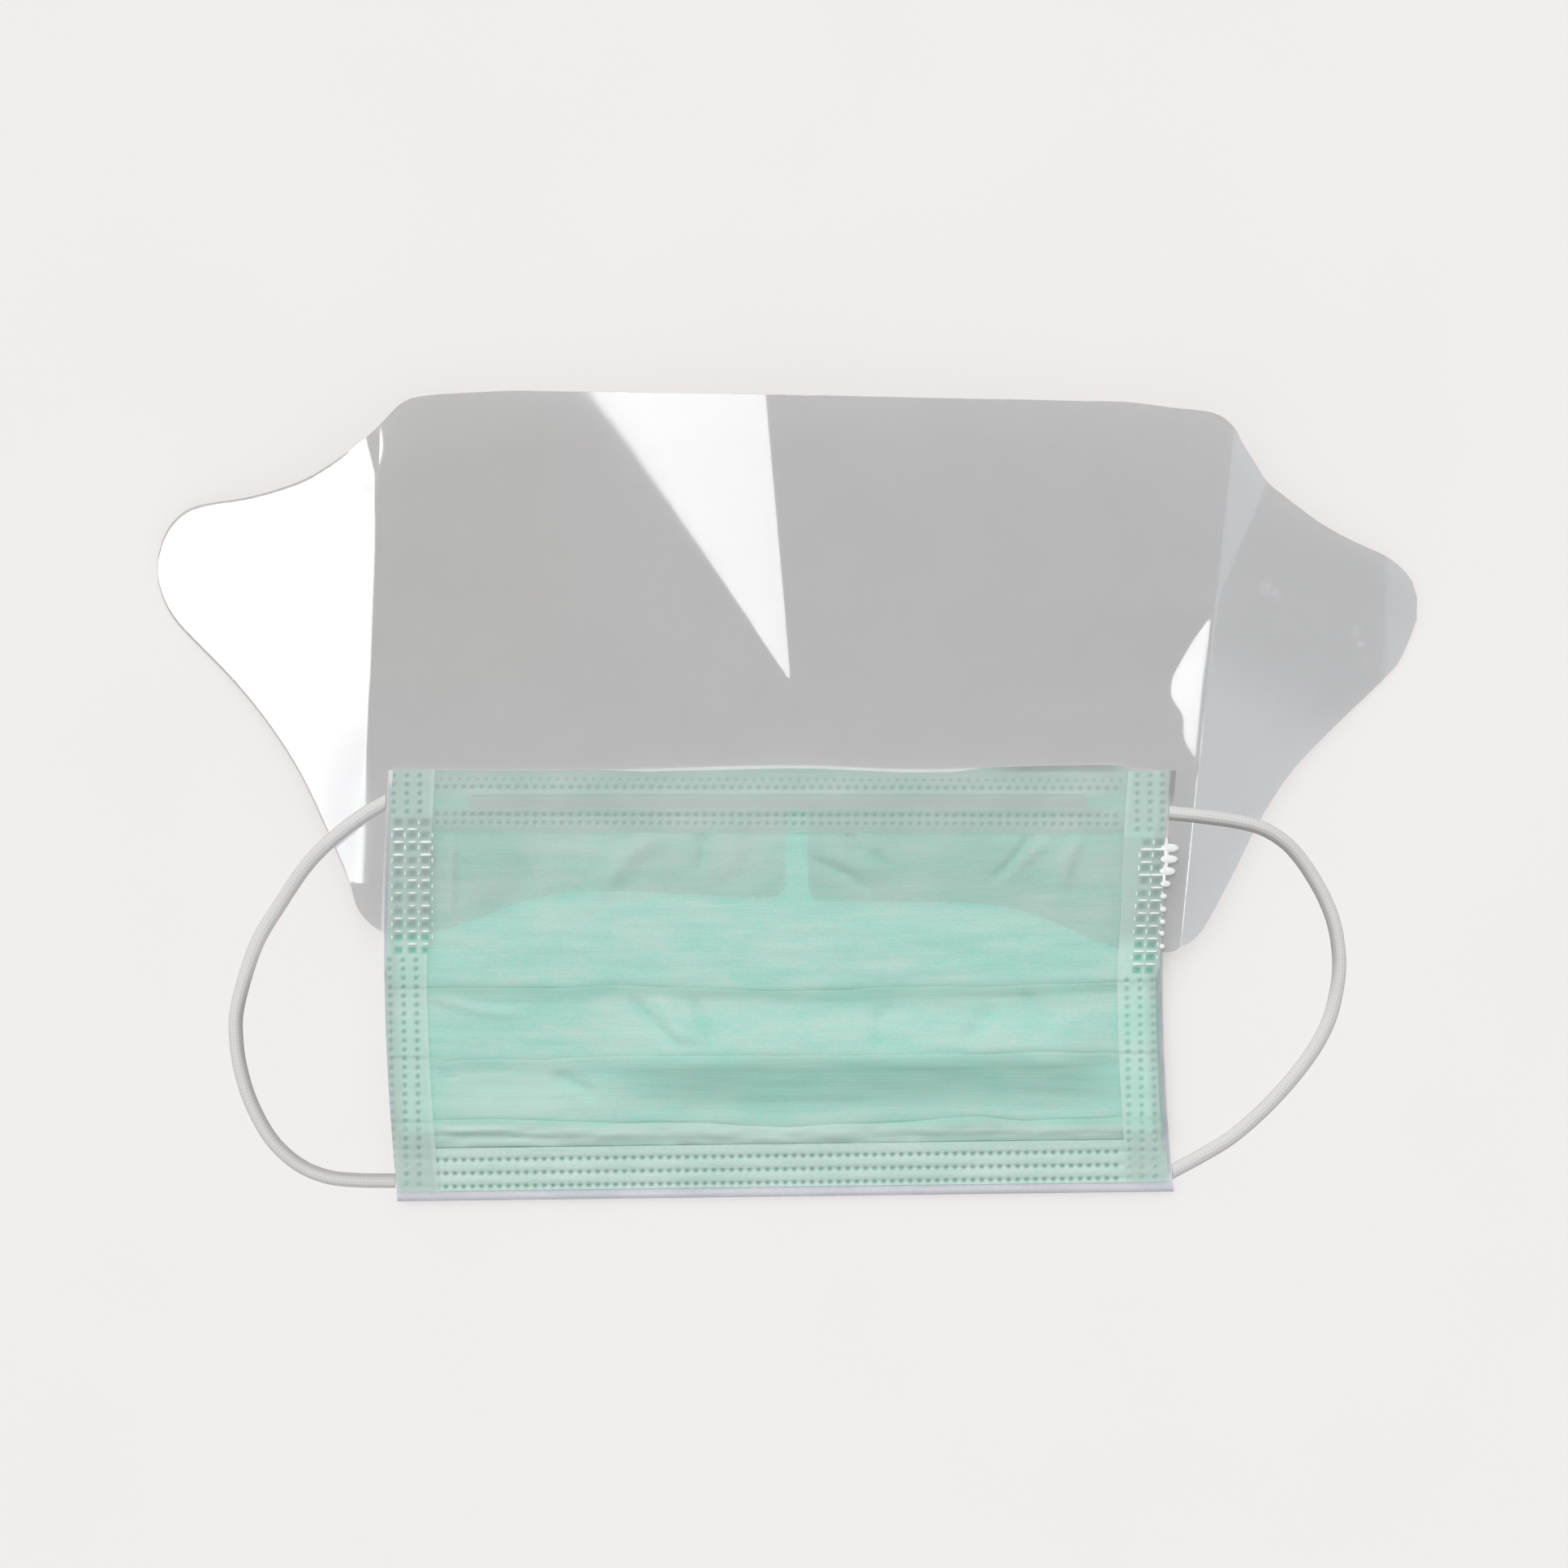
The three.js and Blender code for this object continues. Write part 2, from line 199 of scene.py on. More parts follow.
class Graph:
    """Writes nodes into a material's tree or a Geometry Nodes tree."""

    def __init__(self, tree):
        self.tree = tree

    def add(self, kind, settings=None, sockets=None, out=0):
        """Add a node and return its output, or a list of outputs, or None."""
        node = self.tree.nodes.new(kind)
        for name, value in (settings or {}).items():
            setattr(node, name, value)
        for key, value in (sockets or {}).items():
            socket = find_socket(node.inputs, key)
            if isinstance(value, Wire):
                self.tree.links.new(value.socket, socket)
            else:
                socket.default_value = value
        if out is None:
            return None
        if isinstance(out, list):
            return [Wire(self, find_socket(node.outputs, key)) for key in out]
        return Wire(self, find_socket(node.outputs, out))

    def math(self, operation, *terms):
        return self.add("ShaderNodeMath", {"operation": operation}, dict(enumerate(terms)))

    def vector_math(self, operation, *terms):
        return self.add("ShaderNodeVectorMath", {"operation": operation}, dict(enumerate(terms)))

    def step(self, value, low, high):
        """A smooth step from 0 at low to 1 at high."""
        sockets = {"Value": value, "From Min": low, "From Max": high}
        return self.add("ShaderNodeMapRange", {"interpolation_type": "SMOOTHSTEP"}, sockets)

    def split(self, vector):
        return self.add("ShaderNodeSeparateXYZ", sockets={0: vector}, out=["X", "Y", "Z"])

    def mix(self, share, first, second):
        """A colour between two colours."""
        sockets = {"Factor_Float": share, "A_Color": first, "B_Color": second}
        return self.add("ShaderNodeMix", {"data_type": "RGBA"}, sockets, "Result_Color")

    def plateau(self, value, start, full, fall, end):
        """1 from full to fall, and 0 before start and past end."""
        return self.step(value, start, full) * (1 - self.step(value, fall, end))

    def attribute(self, name):
        """A number that a mesh's points carry, as a finish reads it."""
        return self.add("ShaderNodeAttribute", {"attribute_name": name}, out="Fac")

    def stored(self, name, kind="FLOAT"):
        """A number or a vector that points carry, as a Geometry Nodes tree reads it."""
        return self.add("GeometryNodeInputNamedAttribute", {"data_type": kind}, {"Name": name}, "Attribute")

    def store(self, geometry, name, value):
        """The geometry, with a number that its points carry from here on."""
        settings = {"data_type": "FLOAT", "domain": "POINT"}
        sockets = {"Geometry": geometry, "Name": name, "Value": value}
        return self.add("GeometryNodeStoreNamedAttribute", settings, sockets)


print("nodes are written with", Graph.__name__, "and", Wire.__name__)

# %% [markdown]
# ## Helpers for finishes
# Colours are read off as screen values, so they are turned into the linear light that shaders use.
# Noise sizes are given in millimetres along each axis: a Mapping node stretches the pattern, which
# makes the streaks of a nonwoven cloth as easily as round specks.

# %% Lengths, colours, noise and a new material


def in_metres(lengths):
    """Lengths in millimetres as the metres that a mesh or a shader takes."""
    return [length * MM for length in lengths]


def screen_colour(code):
    """Linear RGBA from a screen colour such as "#afd2c8"."""
    parts = [int(code[i : i + 2], 16) / 255 for i in (1, 3, 5)]
    return tuple(((part + 0.055) / 1.055) ** 2.4 for part in parts) + (1.0,)


def grain(graph, place, size, detail=2.0):
    """Noise from 0 to 1 whose specks are about size millimetres along X, Y and Z."""
    scale = tuple(1 / (side * MM) for side in size)
    mapped = graph.add("ShaderNodeMapping", sockets={"Vector": place, "Scale": scale})
    sockets = {"Vector": mapped, "Scale": 1.0, "Detail": detail}
    return graph.add("ShaderNodeTexNoise", sockets=sockets, out="Fac")


def new_material(name):
    """An empty material, its graph and its Object coordinates."""
    material = bpy.data.materials.new(name)
    material.use_nodes = True
    material.node_tree.nodes.clear()
    graph = Graph(material.node_tree)
    return material, graph, graph.add("ShaderNodeTexCoord", out="Object")


def set_surface(graph, sockets):
    """Close a material with one Principled shader."""
    shader = graph.add("ShaderNodeBsdfPrincipled", sockets=sockets, out="BSDF")
    graph.add("ShaderNodeOutputMaterial", sockets={"Surface": shader}, out=None)


def bump(graph, height, depth, strength=1.0):
    """A bump whose height of 1 stands depth millimetres proud."""
    sockets = {"Height": height, "Distance": depth * MM, "Strength": strength}
    return graph.add("ShaderNodeBump", sockets=sockets)


print("cloth green in linear light:", [round(part, 3) for part in screen_colour("#afd2c8")])

# %% [markdown]
# ## Table
# The mask lies on a plain pale table top. It is the stage and not part of the object. A faint grain
# keeps it from being a single flat colour, and it is large enough to reach the horizon in low views.

# %% Table top
TABLE_SIDE = 8000
TABLE_COLOUR = "#f3efee"
TABLE_SHADE = "#f0ecea"
TABLE_CLOUD = (60, 60, 60)

table_material, graph, place = new_material("pale_table")
cloudy = grain(graph, place, TABLE_CLOUD)
table_tint = graph.mix(cloudy, screen_colour(TABLE_COLOUR), screen_colour(TABLE_SHADE))
set_surface(graph, {"Base Color": table_tint, "Roughness": 0.9, "Specular IOR Level": 0.1})

half_table = TABLE_SIDE * MM / 2
table_mesh = bpy.data.meshes.new("table")
table_corners = [(-half_table, -half_table, 0), (half_table, -half_table, 0)]
table_corners += [(half_table, half_table, 0), (-half_table, half_table, 0)]
table_mesh.from_pydata(table_corners, [], [(0, 1, 2, 3)])
table_mesh.materials.append(table_material)
table = bpy.data.objects.new("table", table_mesh)
bpy.context.collection.objects.link(table)
print("table", TABLE_SIDE / 1000, "m square")

# %% [markdown]
# ## From modifiers to plain meshes
# Pieces start as a curve or a thin surface and get their form from modifiers. When a piece is done,
# its evaluated result becomes a plain mesh, and the object that carried the modifiers goes away. A
# Geometry Nodes input is set by its socket's identifier, which the tree's interface gives by name.

# %% Plain meshes and tree inputs
SHARP_ANGLE = math.radians(50)  # faces that turn by more than this meet in a sharp edge


def link_piece(name, data):
    piece = bpy.data.objects.new(name, data)
    bpy.context.collection.objects.link(piece)
    return piece


def as_plain_mesh(source, name):
    """Replace an object that has modifiers by a plain mesh of what they make."""
    graph = bpy.context.evaluated_depsgraph_get()
    made = source.evaluated_get(graph)
    mesh = bpy.data.meshes.new_from_object(made, preserve_all_data_layers=True, depsgraph=graph)
    bpy.data.objects.remove(source)
    mesh.name = name
    mesh.shade_smooth()
    mesh.set_sharp_from_angle(angle=SHARP_ANGLE)
    print(f"{name}: {len(mesh.polygons)} faces")
    return link_piece(name, mesh)


def new_tree(name, inputs):
    """A Geometry Nodes tree with a geometry in and out, and named inputs given as name: (type, default)."""
    tree = bpy.data.node_groups.new(name, "GeometryNodeTree")
    tree.interface.new_socket("Geometry", in_out="INPUT", socket_type="NodeSocketGeometry")
    tree.interface.new_socket("Geometry", in_out="OUTPUT", socket_type="NodeSocketGeometry")
    for label, (kind, default) in inputs.items():
        socket = tree.interface.new_socket(label, in_out="INPUT", socket_type="NodeSocket" + kind)
        socket.default_value = default
    graph = Graph(tree)
    outs = graph.add("NodeGroupInput", out=["Geometry", *inputs])
    return graph, dict(zip(["Geometry", *inputs], outs))


def close_tree(graph, geometry, material):
    """End a tree in Realize Instances and Set Material."""
    whole = graph.add("GeometryNodeRealizeInstances", sockets={"Geometry": geometry})
    dressed = graph.add("GeometryNodeSetMaterial", sockets={"Geometry": whole, "Material": material})
    graph.add("NodeGroupOutput", sockets={"Geometry": dressed}, out=None)


def add_tree(piece, tree, **sizes):
    """Add a tree to a piece as a modifier, and set its inputs."""
    modifier = piece.modifiers.new(tree.name, "NODES")
    modifier.node_group = tree
    for item in tree.interface.items_tree:
        label = item.name.replace(" ", "_").lower()
        if item.in_out == "INPUT" and label in sizes:
            modifier[item.identifier] = sizes[label]


print("helpers for modifiers ready")

# %% [markdown]
# ## Ear loops
# Each loop is a round knitted elastic, about 3.2 mm thick. It leaves the band's top corner, runs over the
# visor's wing, lies on the table and comes back to the bottom corner. The route repeats the CAD's
# points. A loop is thinner where it is drawn out and thicker where it lies slack, so its thickness
# changes along it. Its inner side faces the mask, which takes light from it, so the right loop is darker
# there in its upper half and the left one in its lower half. A tree sweeps a circle along the route and
# raises knitted wales, because they follow the path.

# %% Elastic finish
ELASTIC_LIGHT = "#dfdedd"
ELASTIC_DARK = "#cac9c7"
ELASTIC_SHADE = "#908d8a"
LINT = (0.5, 0.5, 0.5)
WALES = 12
STITCH = 0.9
STITCH_LEAD = 2.0  # radians by which the stitches on a wale's crown run ahead
LOOP_MIDDLE = (97, -43)  # middle of the space inside the right loop; the left one mirrors it
SHADE_CHANGES = (-50, -32)  # heights between which the shade passes from one half of a loop to the other
FACES_INWARD = (-0.2, 0.95)  # cosines between which a side that turns inward grows dark
SHADE_DEPTH = 0.68

elastic_material, graph, place = new_material("knitted_elastic")
wale = graph.math("COSINE", graph.attribute("around") * (2 * math.pi * WALES))
stitch_turn = graph.attribute("along") * (2 * math.pi / (STITCH * MM))
stitch = graph.math("SINE", stitch_turn + STITCH_LEAD * abs(wale))
knit = 0.5 + 0.3 * wale + 0.2 * stitch
lint = grain(graph, place, LINT)
elastic_tint = graph.mix(0.65 * knit + 0.35 * lint, screen_colour(ELASTIC_DARK), screen_colour(ELASTIC_LIGHT))
x, y, _ = graph.split(place)
normal_x, normal_y, _ = graph.split(graph.add("ShaderNodeTexCoord", out="Normal"))
side = graph.math("SIGN", x)
inward_x = side * (LOOP_MIDDLE[0] * MM - abs(x))
inward_y = LOOP_MIDDLE[1] * MM - y
inward = (inward_x * normal_x + inward_y * normal_y) / (inward_x**2 + inward_y**2) ** 0.5
low = 1 - graph.step(y, *in_metres(SHADE_CHANGES))
turned_away = (0.5 + side * (0.5 - low)) * graph.step(inward, *FACES_INWARD)
elastic_tint = graph.mix(SHADE_DEPTH * turned_away, elastic_tint, screen_colour(ELASTIC_SHADE))
elastic_bump = bump(graph, knit + 0.4 * lint, 0.03)
set_surface(graph, {"Base Color": elastic_tint, "Roughness": 0.85, "Normal": elastic_bump})
print("elastic finish with", WALES, "wales and stitches of", STITCH, "mm")

# %% Tree that sweeps the elastic
LOOP_DIAMETER = 3.2
RIB = 0.02
SWEEP_STEP = 0.5
RING_POINTS = 48

elastic_inputs = {
    "Diameter": ("Float", LOOP_DIAMETER * MM),
    "Wales": ("Int", WALES),
    "Rib": ("Float", RIB * MM),
    "Step": ("Float", SWEEP_STEP * MM),
}
graph, wires = new_tree("round_elastic", elastic_inputs)
spacing = {"Curve": wires["Geometry"], "Length": wires["Step"]}
route = graph.add("GeometryNodeResampleCurve", {"mode": "LENGTH"}, spacing)
route = graph.store(route, "along", graph.add("GeometryNodeSplineParameter", out="Length"))
circle = {"Resolution": RING_POINTS, "Radius": wires["Diameter"] / 2}
ring = graph.add("GeometryNodeCurvePrimitiveCircle", {"mode": "RADIUS"}, circle)
ring = graph.store(ring, "around", graph.add("GeometryNodeSplineParameter", out="Factor"))
sweep = {"Curve": route, "Profile Curve": ring, "Fill Caps": True}
tube = graph.add("GeometryNodeCurveToMesh", sockets=sweep)
rib = graph.math("COSINE", graph.stored("around") * wires["Wales"] * (2 * math.pi)) * wires["Rib"]
outward = graph.add("GeometryNodeInputNormal", out="Normal")
lift = graph.add("ShaderNodeVectorMath", {"operation": "SCALE"}, {"Vector": outward, "Scale": rib})
ribbed = graph.add("GeometryNodeSetPosition", sockets={"Geometry": tube, "Offset": lift})
close_tree(graph, ribbed, elastic_material)
elastic_tree = graph.tree
print("elastic tree has", len(elastic_tree.nodes), "nodes")

# %% Routes of the loops, in millimetres
LEFT_ROUTE = [
    (-89.8, -1.2, 7.6), (-95.0, -4.3, 7.6), (-101.9, -9.6, 6.7), (-107.9, -15.7, 4.6), (-113.9, -24.4, 2.3),
    (-118.5, -31.9, 1.65), (-121.4, -39.7, 1.65), (-123.5, -48.2, 1.65), (-123.6, -54.0, 1.65),
    (-122.9, -59.7, 1.65), (-121.0, -66.7, 1.65), (-117.9, -73.4, 1.65), (-114.2, -78.6, 1.65),
    (-108.9, -82.9, 1.7), (-103.0, -85.2, 2.3), (-96.3, -85.9, 3.6), (-87.2, -86.0, 4.4),
]
RIGHT_ROUTE = [
    (84.8, -3.6, 7.6), (91.6, -4.3, 7.6), (100.2, -5.5, 6.6), (105.9, -7.0, 5.6), (110.5, -9.6, 4.4),
    (113.9, -12.8, 3.2), (117.2, -17.3, 2.2), (120.4, -23.0, 1.65), (122.5, -28.7, 1.65),
    (123.5, -34.9, 1.65), (123.5, -40.0, 1.65), (122.7, -45.0, 1.65), (121.3, -50.1, 1.65),
    (118.7, -55.4, 1.65), (115.2, -60.5, 1.65), (110.6, -66.0, 1.65), (105.4, -71.3, 1.7),
    (99.2, -76.5, 2.2), (92.5, -80.5, 3.5), (86.3, -83.8, 4.4),
]
# Thickness of each loop, as a share of its diameter, at distances along it
LEFT_THICKNESS = [
    (0, 0.95), (14, 0.98), (26, 1.12), (40, 1.04), (60, 0.95), (85, 0.85), (110, 0.87), (124, 0.97),
]
RIGHT_THICKNESS = [
    (0, 0.70), (12, 0.76), (20, 0.88), (35, 0.98), (60, 1.0), (80, 1.1), (100, 1.18), (124, 0.97),
]
# X of the mask's side edge where each loop starts and ends
LEFT_STOPS = (-89.75, -87.85)
RIGHT_STOPS = (85.2, 86.1)
END_TUCK = 1.0  # length added to a loop at both ends, to be cut off at the mask's edge
END_DROP = 0.6  # the bands' cloth is thinner than its stand-in in the frame, so a loop's ends lie lower
END_DROP_RUN = 12.0
OFF_TABLE = 0.05  # least gap between a loop and the table


def smooth_line(points, steps=10, closed=False):
    """Points on a Catmull-Rom curve through the given ones."""
    points = np.asarray(points, float)
    if closed:
        padded = np.concatenate([points[-1:], points, points[:2]])
    else:
        padded = np.concatenate([2 * points[:1] - points[1:2], points, 2 * points[-1:] - points[-2:-1]])
    t = np.linspace(0, 1, steps, endpoint=False)[:, None]
    spans = []
    for p0, p1, p2, p3 in zip(padded, padded[1:], padded[2:], padded[3:]):
        bend = (2 * p0 - 5 * p1 + 4 * p2 - p3) * t**2 + (3 * p1 - p0 - 3 * p2 + p3) * t**3
        spans.append(p1 + 0.5 * ((p2 - p0) * t + bend))
    line = np.concatenate(spans)
    return line if closed else np.concatenate([line, points[-1:]])


def line_length(line):
    return float(np.linalg.norm(np.diff(line, axis=0), axis=1).sum())


print("routes of", len(LEFT_ROUTE), "and", len(RIGHT_ROUTE), "points")

# %% Make the loops


def tucked(line):
    """The line with a short straight run added at both ends."""
    out = [line[0] - line[1], line[-1] - line[-2]]
    start, end = (run / np.linalg.norm(run) * END_TUCK for run in out)
    return np.concatenate([[line[0] + start], line, [line[-1] + end]])


def cut_ends(piece, stops):
    """Cut a loop's upper and lower end off flat at two X values."""
    for vertex in piece.data.vertices:
        stop = stops[0] if vertex.co.y > LOOP_MIDDLE[1] * MM else stops[1]
        outermost = min if stop < 0 else max
        vertex.co.x = outermost(vertex.co.x, stop * MM)
    piece.data.set_sharp_from_angle(angle=SHARP_ANGLE)


def add_ear_loop(name, node, points, thickness, stops):
    line = smooth_line(points)
    run = np.concatenate([[0], np.cumsum(np.linalg.norm(np.diff(line, axis=0), axis=1))])
    shares = np.interp(run, *zip(*thickness))
    line[:, 2] -= np.interp(np.minimum(run, run[-1] - run), (0, END_DROP_RUN), (END_DROP, 0))
    line[:, 2] = np.maximum(line[:, 2], shares * LOOP_DIAMETER / 2 + OFF_TABLE)
    curve = bpy.data.curves.new(name + "_route", "CURVE")
    curve.dimensions = "3D"
    spline = curve.splines.new("POLY")
    spline.points.add(len(line) + 1)
    for knot, point, share in zip(spline.points, tucked(line) * MM, [shares[0], *shares, shares[-1]]):
        knot.co = (*point, 1.0)
        knot.radius = share
    source = link_piece(name + "_route", curve)
    add_tree(source, elastic_tree, diameter=LOOP_DIAMETER * MM, wales=WALES)
    piece = as_plain_mesh(source, name)
    cut_ends(piece, stops)
    piece.visible_shadow = False
    piece.visible_diffuse = False
    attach(piece, "root")
    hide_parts(node)
    print(f"{name}: {line_length(line):.0f} mm of elastic")


add_ear_loop("elastic_left", "ear_loop_left", LEFT_ROUTE, LEFT_THICKNESS, LEFT_STOPS)
add_ear_loop("elastic_right", "ear_loop_right", RIGHT_ROUTE, RIGHT_THICKNESS, RIGHT_STOPS)

# %% [markdown]
# ## The mask's outline
# The folded mask is nearly a rectangle: its top and bottom edges fall a little to one side, and both
# side edges bow the same way. The top edge lies in low waves. The plies share these edges, so they are
# functions that every later step calls. All of them work on whole arrays of points at once, which keeps
# dense meshes quick.

# %% Edges of the folded mask
TOP = {"left": 6.1, "right": 5.7}
BOTTOM = {"left": -90.5, "right": -88.3}
LEFT = {"top": -89.2, "bottom": -87.4}
RIGHT = {"top": 85.8, "bottom": 86.5}
BOW = -2.1
CHIN_RISE = (BOTTOM["right"] - BOTTOM["left"]) / (RIGHT["bottom"] - LEFT["bottom"])
SHOWN_SIDE = 1.0  # strips of the inner ply that show past the green plies
SHOWN_BOTTOM = 2.0


def between(first, last, share):
    return first + (last - first) * share


def smooth_step(value, low, high):
    """0 at low, 1 at high, and smooth between; works on arrays."""
    t = np.clip((np.asarray(value, float) - low) / (high - low), 0, 1)
    return t * t * (3 - 2 * t)


def plateau(value, start, full, fall, end):
    """1 from full to fall, 0 before start and past end, and smooth between; works on arrays."""
    return smooth_step(value, start, full) * (1 - smooth_step(value, fall, end))


def top_y(u):
    return between(TOP["left"], TOP["right"], u)


def bottom_y(u):
    return between(BOTTOM["left"], BOTTOM["right"], u)


def side_x(side, u, y):
    down = np.clip((top_y(u) - y) / (top_y(u) - bottom_y(u)), 0, 1)
    return between(side["top"], side["bottom"], down) + 4 * BOW * down * (1 - down)


def across_x(u, y, inset):
    """X at share u of the width at height y, between the side edges less an inset."""
    return between(side_x(LEFT, 0, y) + inset, side_x(RIGHT, 1, y) - inset, u)


# Top edge as it lies, from left to right
WAVY_TOP = smooth_line([
    (-90.0, 6.1), (-74.5, 5.9), (-49.0, 5.9), (-31.0, 6.3), (-12.8, 6.7), (1.7, 7.0), (14.4, 6.6),
    (23.5, 6.2), (30.8, 6.1), (41.7, 6.4), (56.2, 6.9), (70.7, 7.1), (75.2, 6.8), (78.5, 5.9), (87.0, 5.8),
])


def wavy_top_y(x):
    return np.interp(x, WAVY_TOP[:, 0], WAVY_TOP[:, 1])


print("mask", round(RIGHT["top"] - LEFT["top"], 1), "by", round(top_y(0.5) - bottom_y(0.5), 1), "mm")

# %% [markdown]
# ## Cloth from a grid
# A ply starts as a grid of points on its middle surface. Solidify gives it the thickness of the cloth,
# and it stays a closed sheet. Slow noise lifts it here and there, because loose cloth never lies flat.

# %% Grid surfaces and loose cloth
CLOTH = 0.5


def grid_surface(name, x, y, z):
    """A one-sided mesh from arrays of rows by columns; rows run along +Y and columns along +X."""
    rows, columns = x.shape
    points = np.stack([x, y, z], axis=-1).reshape(-1, 3) * MM
    first = (np.arange(rows - 1)[:, None] * columns + np.arange(columns - 1)).ravel()
    faces = np.stack([first, first + 1, first + columns + 1, first + columns], axis=1)
    mesh = bpy.data.meshes.new(name)
    mesh.from_pydata(points.tolist(), [], faces.tolist())
    return link_piece(name, mesh)


def slow_noise(x, y, size, seed):
    """Smooth noise from about -1 to 1 with waves about size = (along X, along Y) millimetres long."""
    pairs = zip((x / size[0]).ravel(), (y / size[1]).ravel())
    values = [noise.noise(Vector((a, b, seed))) for a, b in pairs]
    return np.array(values).reshape(x.shape)


def thicken(piece, thickness):
    solidify = piece.modifiers.new("thickness", "SOLIDIFY")
    solidify.thickness = thickness * MM
    solidify.offset = 0


def finish_ply(source, name, node, thickness=CLOTH):
    """Thicken a ply, make it a plain mesh, and let it stand for its CAD solid."""
    thicken(source, thickness)
    piece = as_plain_mesh(source, name)
    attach(piece, "root")
    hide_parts(node)
    return piece


print("cloth thickness", CLOTH, "mm")

# %% [markdown]
# ## Weld dots
# The plies of such a mask aren't sewn: a toothed roller presses rows of dots that melt them together.
# A dot could be painted on, but then it would vanish in a low light. Here a tree finds, for every
# point of the cloth, the nearest centre in a row, and presses the cloth down around it. The same tree
# presses the square cells that hold the visor: a higher power makes the dot's outline squarer. It
# also stores how far each point is pressed, so that a finish can darken the melted cloth.

# %% Tree that presses a row of dots
DOT_WALL = (0.3, 1.1)  # shares of a dot's half width between which its wall rises

graph, wires = new_tree(
    "pressed_row",
    {
        "Start": ("Vector", (0, 0, 0)),
        "Step": ("Vector", (2 * MM, 0, 0)),
        "Count": ("Int", 10),
        "Half Width": ("Float", 0.5 * MM),
        "Half Height": ("Float", 0.5 * MM),
        "Squareness": ("Float", 2.0),
        "Depth": ("Float", 0.3 * MM),
        "Mark": ("String", "pressed"),
        "Material": ("Material", None),
    },
)
centres = graph.add(
    "GeometryNodeMeshLine",
    {"mode": "OFFSET"},
    {"Count": wires["Count"], "Start Location": wires["Start"], "Offset": wires["Step"]},
)
position = graph.add("GeometryNodeInputPosition", out="Position")
x, y, _ = graph.split(position)
flat_place = graph.add("ShaderNodeCombineXYZ", sockets={"X": x, "Y": y})
nearest = graph.add("GeometryNodeSampleNearest", sockets={"Geometry": centres, "Sample Position": flat_place})
centre = graph.add(
    "GeometryNodeSampleIndex",
    {"data_type": "FLOAT_VECTOR"},
    {"Geometry": centres, "Value": position, "Index": nearest},
)
aside_x, aside_y, _ = graph.split(graph.vector_math("SUBTRACT", flat_place, centre))
share_x = abs(aside_x) / wires["Half Width"]
share_y = abs(aside_y) / wires["Half Height"]
power = wires["Squareness"]
distance = (share_x**power + share_y**power) ** (1 / power)
pressed = 1 - graph.step(distance, *DOT_WALL)
lower = graph.add("ShaderNodeCombineXYZ", sockets={"Z": pressed * wires["Depth"] * -1})
dented = graph.add("GeometryNodeSetPosition", sockets={"Geometry": wires["Geometry"], "Offset": lower})
deepest = graph.math("MAXIMUM", graph.stored(wires["Mark"]), pressed)
marked = graph.store(dented, wires["Mark"], deepest)
close_tree(graph, marked, wires["Material"])
press_tree = graph.tree


def press_row(piece, material, start, step, count, half, depth, squareness, mark="pressed"):
    """Press a row of dots or cells, given in millimetres, into a piece."""
    add_tree(
        piece,
        press_tree,
        start=(start[0] * MM, start[1] * MM, 0.0),
        step=(step[0] * MM, step[1] * MM, 0.0),
        count=count,
        half_width=half[0] * MM,
        half_height=half[1] * MM,
        depth=depth * MM,
        squareness=squareness,
        mark=mark,
        material=material,
    )


print("press tree has", len(press_tree.nodes), "nodes")

# %% [markdown]
# ## Nonwoven cloth
# The cloth is a mat of fine fibres, drawn out along the machine's direction, so it shows streaks
# across the mask and a cloudy change between a paler and a deeper green where the mat is thinner.
# It is painted deeper in the hollows of its wrinkles, a painted shade. Pressed dots are melted, so they are
# darker and less rough.
# Thin cloth also lets light through, which shows most along folded edges: there a weak glow stands for it.
# The finish is one function, because the plies differ only in their colours.

# %% Cloth finish
CLOUD = (17, 6, 13)
STREAK = (8, 0.5, 3)
FIBRE = (0.8, 0.45, 0.8)
DEEPER = {"cloud": 0.42, "streak": 0.16, "fibre": 0.42, "painted_hollow_shade": 0.22}  # shares of the deeper colour
DOT_TINT = 0.9
CLOTH_BUMP = {"streak": 0.6, "fibre": 0.4, "depth": 0.06, "strength": 0.8}
UNLIT = "#000000"


def nonwoven(name, pale, deep, dot, tint=None, alpha=1.0, through=0.0):
    """A nonwoven cloth between two colours; tint may change its colour, and light may come through it."""
    material, graph, place = new_material(name)
    cloud = graph.step(grain(graph, place, CLOUD, 5.0), 0.35, 0.65)
    streak = graph.step(grain(graph, place, STREAK, 4.0), 0.3, 0.7)
    fibre = grain(graph, place, FIBRE, 2.0)
    share = DEEPER["cloud"] * cloud + DEEPER["streak"] * streak
    share = share + DEEPER["fibre"] * graph.step(fibre, 0.25, 0.75)
    # a deeper green painted into the hollows of the wrinkles: painted shade
    share = share + DEEPER["painted_hollow_shade"] * graph.attribute("painted_hollow_shade")
    colour = graph.mix(share, screen_colour(pale), screen_colour(deep))
    if tint:
        colour = tint(graph, place, colour)
    pressed = graph.attribute("pressed")
    height = CLOTH_BUMP["streak"] * streak + CLOTH_BUMP["fibre"] * fibre
    sockets = {
        "Base Color": graph.mix(DOT_TINT * pressed, colour, screen_colour(dot)),
        "Roughness": 0.95 - 0.25 * pressed,
        "Alpha": alpha,
        "Normal": bump(graph, height, CLOTH_BUMP["depth"], CLOTH_BUMP["strength"]),
        "Specular IOR Level": 0.25,
        "Sheen Weight": 0.15,
        "Sheen Roughness": 0.6,
    }
    if through:
        glow = graph.mix(graph.attribute("lit"), screen_colour(UNLIT), screen_colour(pale))
        sockets.update({"Emission Color": glow, "Emission Strength": through})
    set_surface(graph, sockets)
    return material


print("cloth clouds of", CLOUD[0], "mm and streaks of", STREAK[0], "mm")
